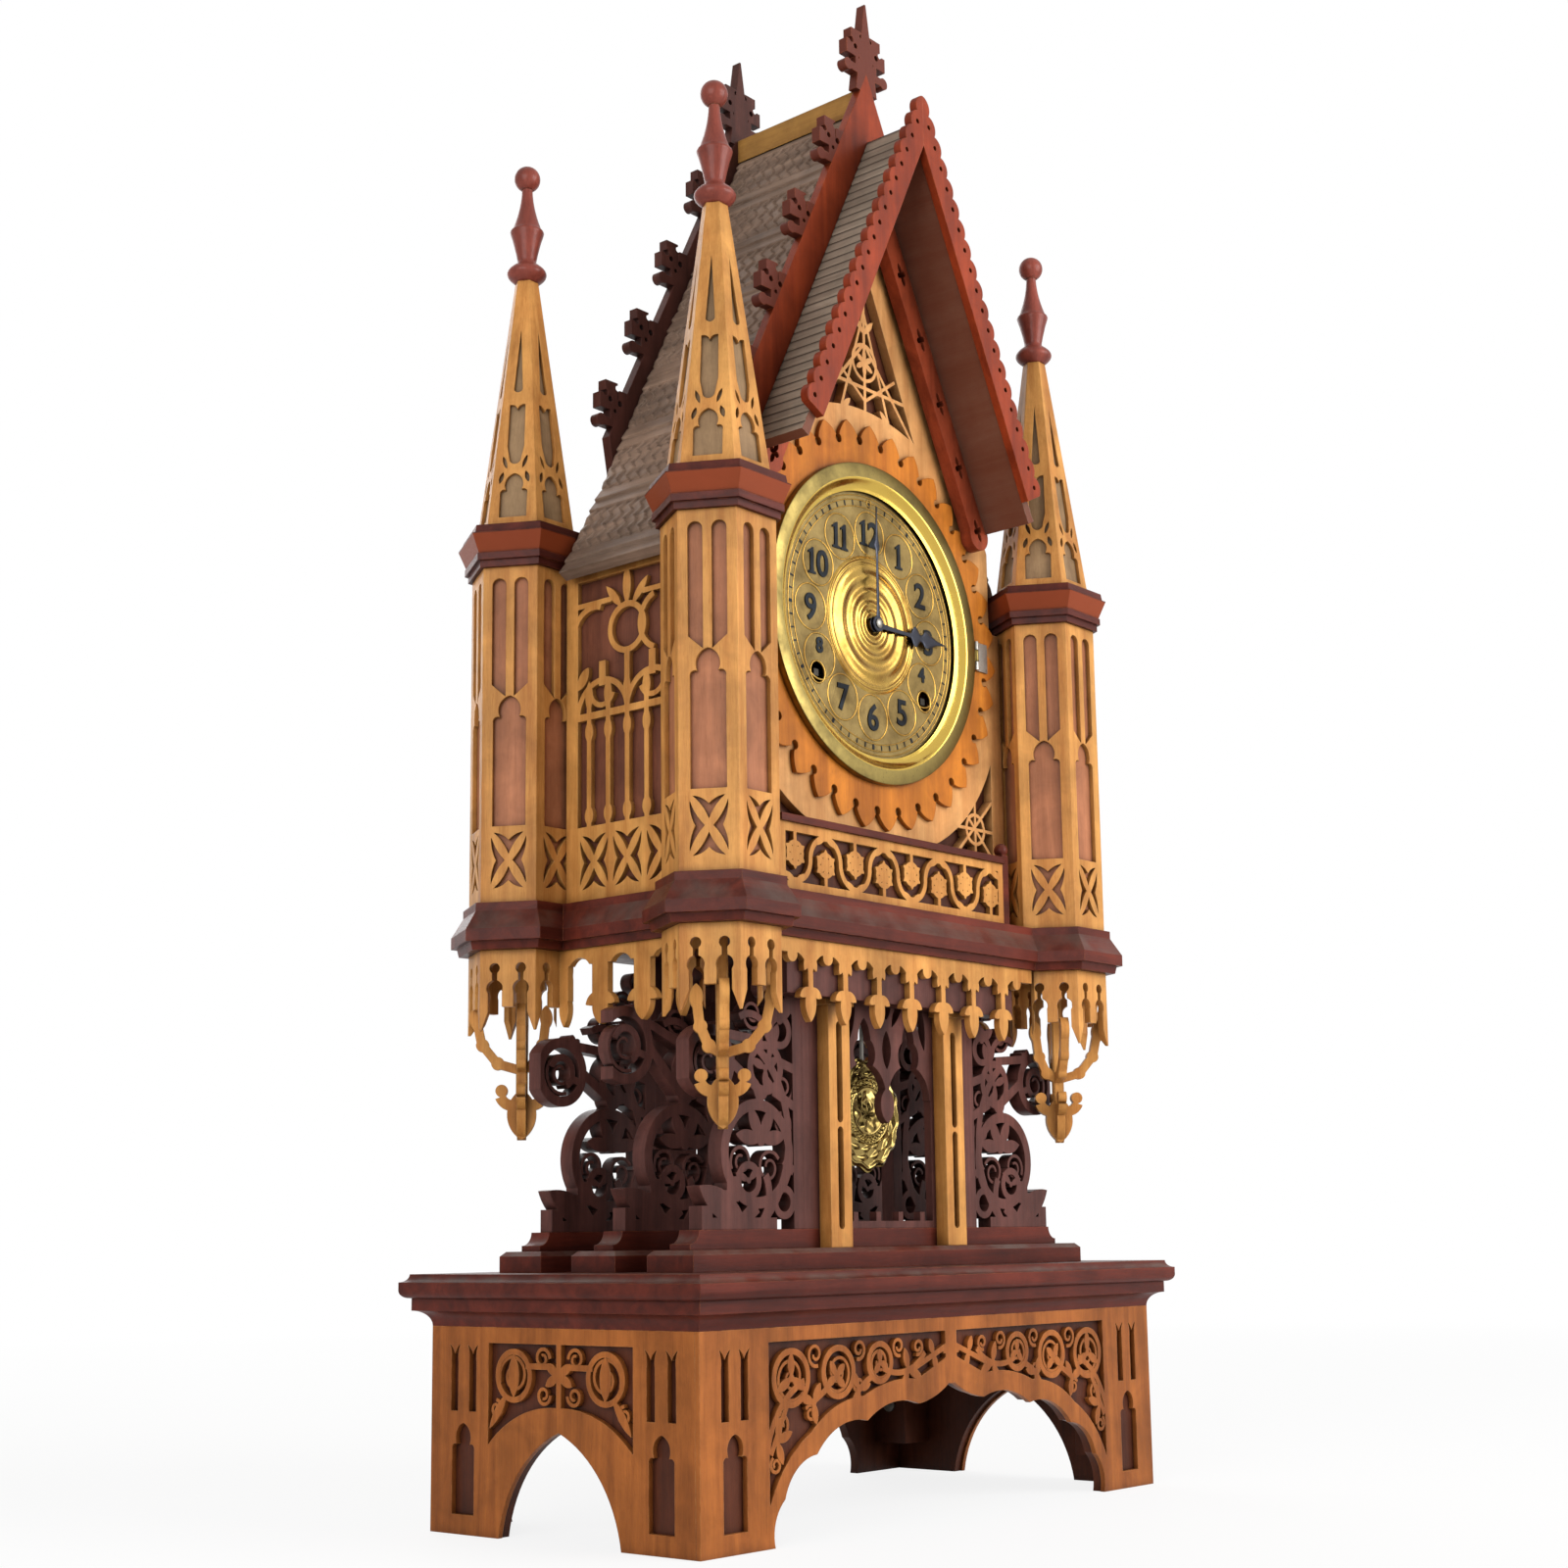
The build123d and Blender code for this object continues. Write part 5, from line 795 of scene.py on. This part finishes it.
def bob_medallion():
    """Embossed bob: its outline is an oval times lobes and two notches, and its height a sum of bell
    curves and waves of the angle and of the distance q from an inner oval: a flower inside a beaded
    ring, leaves outside it and a raised rim."""
    low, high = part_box("pendulum_bob")
    back, front = high.y, low.y + BOB_GROUND * MM
    centre_x, centre_z = (low.x + high.x) / 2, (low.z + high.z) / 2 + BOB_LIFT * MM
    half_w, half_h = (high.x - low.x) / 2, (high.z - low.z) / 2 - BOB_LIFT * MM
    turn = np.linspace(0, 2 * pi, BOB_SPOKES, endpoint=False)
    edge = 1 / np.sqrt((np.cos(turn) / half_w) ** 2 + (np.sin(turn) / half_h) ** 2)
    edge *= 1 - LOBE_DEPTH * (0.5 + 0.5 * np.cos(BOB_LOBES * (turn - pi / 2)))
    for at in NOTCH_ANGLES:
        aside = np.angle(np.exp(1j * (turn - radians(at))))
        edge *= 1 - NOTCH_DEPTH * ridge(aside, 0.0, NOTCH_W)
    share = np.linspace(0.0, 1.0, BOB_RINGS)[:, None]
    x, z = share * edge * np.cos(turn), share * edge * np.sin(turn)
    q = np.sqrt((x / (half_w * OVAL_W)) ** 2 + ((z - OVAL_LIFT * MM) / (half_h * OVAL_H)) ** 2)
    height = sum(tall * ridge(q, at, wide) for at, wide, tall in OVAL_RINGS)
    beads = np.maximum(0, np.cos(OVAL_BEADS * turn))
    height += BEAD_TALL * ridge(q, BEAD_PLACE, BEAD_W) * beads
    flower = np.cos(FLOWER_PETALS * turn) * np.sin(np.clip(q, 0, 0.72) * 9) ** 2
    height += np.where(q < FLOWER_EDGE, FLOWER_TALL + FLOWER_TALL * flower, 0)
    leaves = np.maximum(0, np.sin(9 * turn + 14 * q) * np.cos(5 * turn - 9 * q))
    foliage = np.where(q > LEAF_EDGE, LEAF_GROUND + LEAF_TALL * leaves, 0)
    height += foliage * np.clip((1 - share) * 8, 0, 1)
    height += RIM_TALL * ridge(share, RIM_PLACE, RIM_W)
    height += BOB_DOME * (1 - share ** 2) * np.abs(np.cos(turn))
    surface = np.stack([centre_x + x, front - height * MM, centre_z + z], -1)
    rear = surface[-1].copy()
    rear[:, 1] = back
    hub = np.broadcast_to((centre_x, back, centre_z), rear.shape)
    points = np.concatenate([surface, rear[None], hub[None]])
    points[0] = points[0].mean(0)
    faces = [quads(len(points), BOB_SPOKES, loop_columns=True)]
    piece("bob_medallion", [(points, faces)], bob_brass, "pendulum", ["pendulum_bob"])


# Shingles, mm
COURSE = 9.0                    # height of a lapped course
BAND = 30.0                     # height of a band of three zigzag rows, after two courses
PERIOD = BAND + 2 * COURSE
LAP_DEPTH = 1.5
SCALE_W, ZIGZAG, ROW_TILT = 8.0, 4.2, 0.35
SEAM_W, SEAM_DEPTH = 0.7, 0.7

# Roof, mm: half section from the ridge out, and its grid
ROOF_KNEE = 127.0               # across from the ridge to the bend over the eave
EAVE_Z = 517.0
UNDER_EAVE = (6.1, 3.44)        # from the eave's upper edge in and down to its lower edge
UNDER_KNEE = (120.75, 568.85)
ROOF_THICK = 7.0
UPPER_NORMAL = np.array([2, 1]) / sqrt(5)
LOWER_NORMAL = np.array([55.0, 31.0]) / 63.13
GABLE = 116.0                   # farther out than this the front edge stands back
SETBACK = 9.0
ROOF_STEPS, ROOF_COLUMNS = 348, 98


def shingle_depth(rise, y):
    """Carved depth in mm at a height up the slope and a place along it: saw teeth that make two
    lapped courses, then three rows of scales whose joints follow a zigzag, and seams between."""
    phase = np.mod(rise, PERIOD)
    laps = LAP_DEPTH * np.mod(phase / COURSE, 1.0)
    row = np.mod(phase - 2 * COURSE, BAND / 3) / (BAND / 3)
    column = np.mod((y / MM + ZIGZAG * np.abs(2 * row - 1)) / SCALE_W, 1.0)
    scales = LAP_DEPTH * column + ROW_TILT * row
    seam = ridge(phase, 2 * COURSE, SEAM_W) + ridge(phase, PERIOD, SEAM_W)
    return np.where(phase < 2 * COURSE, laps, scales) + SEAM_DEPTH * seam


def carved_roof():
    """Two roof slabs with the upper face carved into shingles: a bent section line, lowered along its
    normal by the carved depth, and the underside, as one loop carried from front to back."""
    low, high = roof_low, roof_high
    reach, apex = high.x / MM, high.z / MM
    top = np.array([(0, apex), (ROOF_KNEE, apex - 2 * ROOF_KNEE), (reach, EAVE_Z)])
    under = np.array([top[2] - UNDER_EAVE, UNDER_KNEE, (0.0, apex - ROOF_THICK * sqrt(5))])
    runs = np.hypot(*np.diff(top, axis=0).T)
    stations = np.concatenate([[0], np.cumsum(runs)])
    s = np.linspace(0, stations[-1], ROOF_STEPS)
    line = np.stack([np.interp(s, stations, top[:, k]) for k in (0, 1)], -1)
    normal = np.where((s < stations[1])[:, None], UPPER_NORMAL, LOWER_NORMAL)
    t = np.linspace(0, 1, ROOF_COLUMNS)
    front = np.where(line[:, :1] < GABLE, low.y, low.y + SETBACK * MM)
    y = front + (high.y - front) * t
    rise = (stations[-1] - s)[:, None]
    depth = shingle_depth(rise, y) * np.clip(rise / 2, 0, 1)
    x = line[:, :1] - depth * normal[:, :1]
    z = line[:, 1:] - depth * normal[:, 1:]
    x[0] = 0.0
    front = low.y + np.array([[SETBACK], [SETBACK], [0.0]]) * MM
    y_under = front + (high.y - front) * t
    x_under, z_under = (np.broadcast_to(under[:, k:k + 1], y_under.shape) for k in (0, 1))
    patches = []
    for side in (-1, 1):
        upper = np.stack([side * x * MM, y, z * MM], -1)
        lower = np.stack([side * x_under * MM, y_under, z_under * MM], -1)
        points = np.concatenate([upper, lower])
        loop = np.arange(len(points)) * ROOF_COLUMNS
        ends = np.stack([loop, loop[::-1] + ROOF_COLUMNS - 1])
        patches.append((points, [quads(len(points), ROOF_COLUMNS, loop_rows=True), ends]))
    piece("carved_shingles", patches, shingle, "case", ["roof_slopes"], smooth=False)


# Tendrils, mm. A curl is a place, its outer and inner radius, its first angle and its turns
CURL_STEPS = 40
VINE_TAPER = 0.75
BASE_VINE_W, BASE_VINE_DEEP, BASE_VINE_INSET = 1.9, 2.6, 0.2
BASE_PANEL = 50                 # the fret's corner panel, outside its rings
# Places in from the corner panel and down from the top of the front fret
FRONT_CURLS = ((17, 25, 12.2, 3.0, 200, 1.6), (54, 24, 11.2, 3.0, 20, -1.6),
               (88, 21, 8.8, 2.4, 200, 1.5), (36, 14.5, 6.0, 1.6, 250, 1.3),
               (71, 13.5, 5.2, 1.5, 290, -1.3), (104, 13.5, 5.0, 1.5, 250, 1.3),
               (121, 14.5, 4.2, 1.4, 290, -1.3), (9, 48, 6.0, 1.8, 80, 1.3),
               (5, 66, 4.2, 1.4, 60, -1.3), (32, 43, 4.4, 1.5, 30, 1.3), (70, 31, 4.0, 1.4, 20, -1.3))
# Places out from the middle and down from the top of a side fret, angles from upright
SIDE_CURLS = ((33, 24, 11.0, 2.6, -110, 1.5), (12, 15, 5.4, 1.6, 90, -1.3),
              (11, 33, 5.0, 1.6, 90, 1.3), (46, 41, 4.6, 1.5, 0, 1.3))
BRACKET_THICK, BRACKET_VINE_W, BRACKET_VINE_INSET = 9.0, 2.0, 0.8
MIDDLE_BRACKET = -0.25          # the middle bracket, behind the midpoint of the outer two
# Places out from the middle and up from the foot of the scroll brackets
BRACKET_CURLS = ((101, 32, 9.0, 2.6, 150, -1.4), (123, 35, 8.5, 2.6, 330, 1.4),
                 (89, 74, 8.0, 2.4, 180, 1.4), (90, 55, 7.0, 2.2, 200, -1.4),
                 (113, 112, 8.0, 2.4, 230, 1.4), (100, 127, 7.4, 2.2, 220, -1.4),
                 (88, 140, 6.4, 2.0, 200, 1.4))
OUTER_SCROLL = (147, 86, 12, 2.6, 250, 1.7)
MIDDLE_SCROLL = (153, 97, 14, 2.6, 250, 1.7)


def curl(across, up, outer, inner, start, turns):
    """Spiral path: the radius goes evenly from outer to inner as the angle turns."""
    t = np.linspace(0, 1, CURL_STEPS)
    a = radians(start) + 2 * pi * turns * t
    r = outer + (inner - outer) * t
    return np.stack([across + r * np.cos(a), up + r * np.sin(a)], -1)


def vine(path, width, deep):
    """Tapered square strip carried along a flat path; points are across, depth and height in mm."""
    ahead = np.gradient(path, axis=0)
    ahead /= np.linalg.norm(ahead, axis=1)[:, None]
    aside = np.stack([-ahead[:, 1], ahead[:, 0]], -1)
    half = width / 2 * np.linspace(1.0, VINE_TAPER, len(path))[:, None]
    left, right = path + aside * half, path - aside * half
    corners = ((left, 0.0), (right, 0.0), (right, deep), (left, deep))
    ring = [np.insert(side, 1, depth, axis=1) for side, depth in corners]
    return np.stack(ring, 1), capped_tube(len(path), len(corners))


def base_vines():
    """Fine tendrils of the base frets: spirals in the rings and small curls between them."""
    low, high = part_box("base_front_fret")
    edge, top = high.x / MM - BASE_PANEL, high.z / MM
    patches = []
    for x, z, *spiral in FRONT_CURLS:
        path = curl(edge - x, top - z, *spiral)
        for side in (-1, 1):
            points, faces = vine(path * (side, 1), BASE_VINE_W, BASE_VINE_DEEP)
            patches.append((points * MM + (0, low.y + BASE_VINE_INSET * MM, 0), faces))
    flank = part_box("base_side_frets")[1].x - BASE_VINE_INSET * MM
    middle = (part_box("base_plate")[0].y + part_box("base_plate")[1].y) / 2
    for x, z, outer, inner, swing, turns in SIDE_CURLS:
        for k in (-1, 1):
            path = curl(x * k, top - z, outer, inner, 90 + swing * k, turns * k)
            points, faces = vine(path, BASE_VINE_W, BASE_VINE_DEEP)
            along, deep, height = np.moveaxis(points * MM, -1, 0)
            for side in (-1, 1):
                patches.append((np.stack([side * (flank - deep), middle - along, height], -1), faces))
    piece("base_vines", patches, base_honey, "case", smooth=False)


def bracket_vines():
    """Tendrils that fill the scroll brackets: spirals in the rings and curls between, in three planes."""
    low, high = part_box("scroll_brackets")
    foot, half = low.z / MM, BRACKET_THICK / 2
    middles = (low.y / MM + half, (low.y + high.y) / 2 / MM + MIDDLE_BRACKET, high.y / MM - half)
    deep = BRACKET_THICK - 2 * BRACKET_VINE_INSET
    patches = []
    for middle, scroll in zip(middles, (OUTER_SCROLL, MIDDLE_SCROLL, OUTER_SCROLL)):
        for x, z, *spiral in BRACKET_CURLS + (scroll,):
            path = curl(x, z, *spiral)
            for side in (-1, 1):
                points, faces = vine(path * (side, 1) + (0, foot), BRACKET_VINE_W, deep)
                patches.append(((points + (0, middle - deep / 2, 0)) * MM, faces))
    piece("bracket_vines", patches, bracket, "case", smooth=False)


turned_finials()
bezel_ring()
dial_rosette()
dial_relief()
minute_ticks()
dial_numerals()
clock_hands()
bob_medallion()
carved_roof()
base_vines()
bracket_vines()


# Stage: floor, light and camera, in metres

WHITE = (1, 1, 1, 1)
FLOOR_HALF = 8.0
FLOOR_ROUGHNESS = 0.7
FLOOR_FADE = (0.5, 2.6)         # distances between which the floor goes to white
FLOOR_WHITENESS = 0.85          # how white it already is by the clock
SOFT_LIGHT = 0.29
LAMP_SIZE = 1.6
CAMERA_PLACE = (-0.9960, -0.8379, 0.1487)
CAMERA_YAW, CAMERA_PITCH, CAMERA_ROLL = 49.44, 9.50, -0.77
CAMERA_LENS, CAMERA_SENSOR, CAMERA_SHIFT = 51.44, 36.0, 0.05


def seen_rays(tree):
    """One for camera, glossy and transmission rays, which see white, and nought for the rest."""
    path = add(tree, "LightPath").outputs
    seen = calc(tree, "ADD", path["Is Camera Ray"], path["Is Glossy Ray"])
    return calc(tree, "ADD", seen, path["Is Transmission Ray"], clamp=True)


def pale_floor():
    """Pale floor that keeps the shadow and goes to white away from the clock."""
    corners = np.array([[-1, -1, 0], [1, -1, 0], [1, 1, 0], [-1, 1, 0]]) * FLOOR_HALF
    mesh = bpy.data.meshes.new("floor")
    mesh.from_pydata(corners.tolist(), [], [[0, 1, 2, 3]])
    obj = bpy.data.objects.new("floor", mesh)
    scene.collection.objects.link(obj)
    material, tree, shader, spot = new_material("floor_paint")
    tone = blend(tree, noise(tree, spot, FLOOR_CLOUD), colour(244, 243, 241), colour(250, 250, 249))
    tree.links.new(tone, shader.inputs["Base Color"])
    shader.inputs["Roughness"].default_value = FLOOR_ROUGHNESS
    white = add(tree, "Emission", {"Color": WHITE, "Strength": 1.0})
    away = add(tree, "VectorMath", {0: spot}, operation="LENGTH").outputs["Value"]
    whiteness = spread(tree, away, *FLOOR_FADE, to_low=FLOOR_WHITENESS)
    mixed = add(tree, "MixShader", {0: product(tree, seen_rays(tree), whiteness),
                                    1: shader.outputs[0], 2: white.outputs[0]})
    tree.links.new(mixed.outputs[0], tree.nodes["Material Output"].inputs["Surface"])
    mesh.materials.append(material)


def studio_world():
    """White backdrop for camera, glossy and transmission rays; soft grey light for the rest."""
    world = bpy.data.worlds.new("studio")
    scene.world = world
    world.use_nodes = True
    tree = world.node_tree
    tree.nodes.clear()
    soft = add(tree, "Background", {"Color": WHITE, "Strength": SOFT_LIGHT})
    white = add(tree, "Background", {"Color": WHITE, "Strength": 1.0})
    mixed = add(tree, "MixShader", {0: seen_rays(tree), 1: soft.outputs[0], 2: white.outputs[0]})
    out = add(tree, "OutputWorld")
    tree.links.new(mixed.outputs[0], out.inputs["Surface"])


def aimed(place, right, up, ahead):
    """Matrix of a lamp or camera at a place, looking ahead."""
    turn = np.stack([right, up, -ahead], -1)
    return Matrix.Translation(place) @ Matrix(turn.tolist()).to_4x4()


def softbox(name, place, aim, watts):
    """Large square lamp turned towards a point."""
    data = bpy.data.lights.new(name, "AREA")
    data.size = LAMP_SIZE
    data.energy = watts
    obj = bpy.data.objects.new(name, data)
    toward = np.array(aim) - np.array(place)
    ahead = toward / np.linalg.norm(toward)
    right = np.cross(ahead, (0, 0, 1))
    right /= np.linalg.norm(right)
    obj.matrix_world = aimed(place, right, np.cross(right, ahead), ahead)
    scene.collection.objects.link(obj)


def photo_camera():
    """Camera at the photograph's place: low, to the left of the front, looking slightly up."""
    yaw, pitch, roll = radians(CAMERA_YAW), radians(CAMERA_PITCH), radians(CAMERA_ROLL)
    ahead = np.array([sin(yaw) * cos(pitch), cos(yaw) * cos(pitch), sin(pitch)])
    level = np.array([cos(yaw), -sin(yaw), 0.0])
    rise = np.cross(level, ahead)
    right = cos(roll) * level + sin(roll) * rise
    up = -sin(roll) * level + cos(roll) * rise
    data = bpy.data.cameras.new("photo_camera")
    data.sensor_width = CAMERA_SENSOR
    data.lens = CAMERA_LENS
    data.shift_y = CAMERA_SHIFT
    data.clip_start = 0.01
    obj = bpy.data.objects.new("photo_camera", data)
    obj.matrix_world = aimed(CAMERA_PLACE, right, up, ahead)
    scene.collection.objects.link(obj)
    scene.camera = obj


pale_floor()
studio_world()
softbox("key", place=(0.7, -2.0, 0.95), aim=(0, 0, 0.42), watts=52)
softbox("fill", place=(-2.2, -0.7, 1.0), aim=(0, 0, 0.45), watts=33)
softbox("back", place=(0.8, 2.0, 1.6), aim=(0, 0, 0.5), watts=16)
photo_camera()
scene.view_settings.view_transform = "Standard"
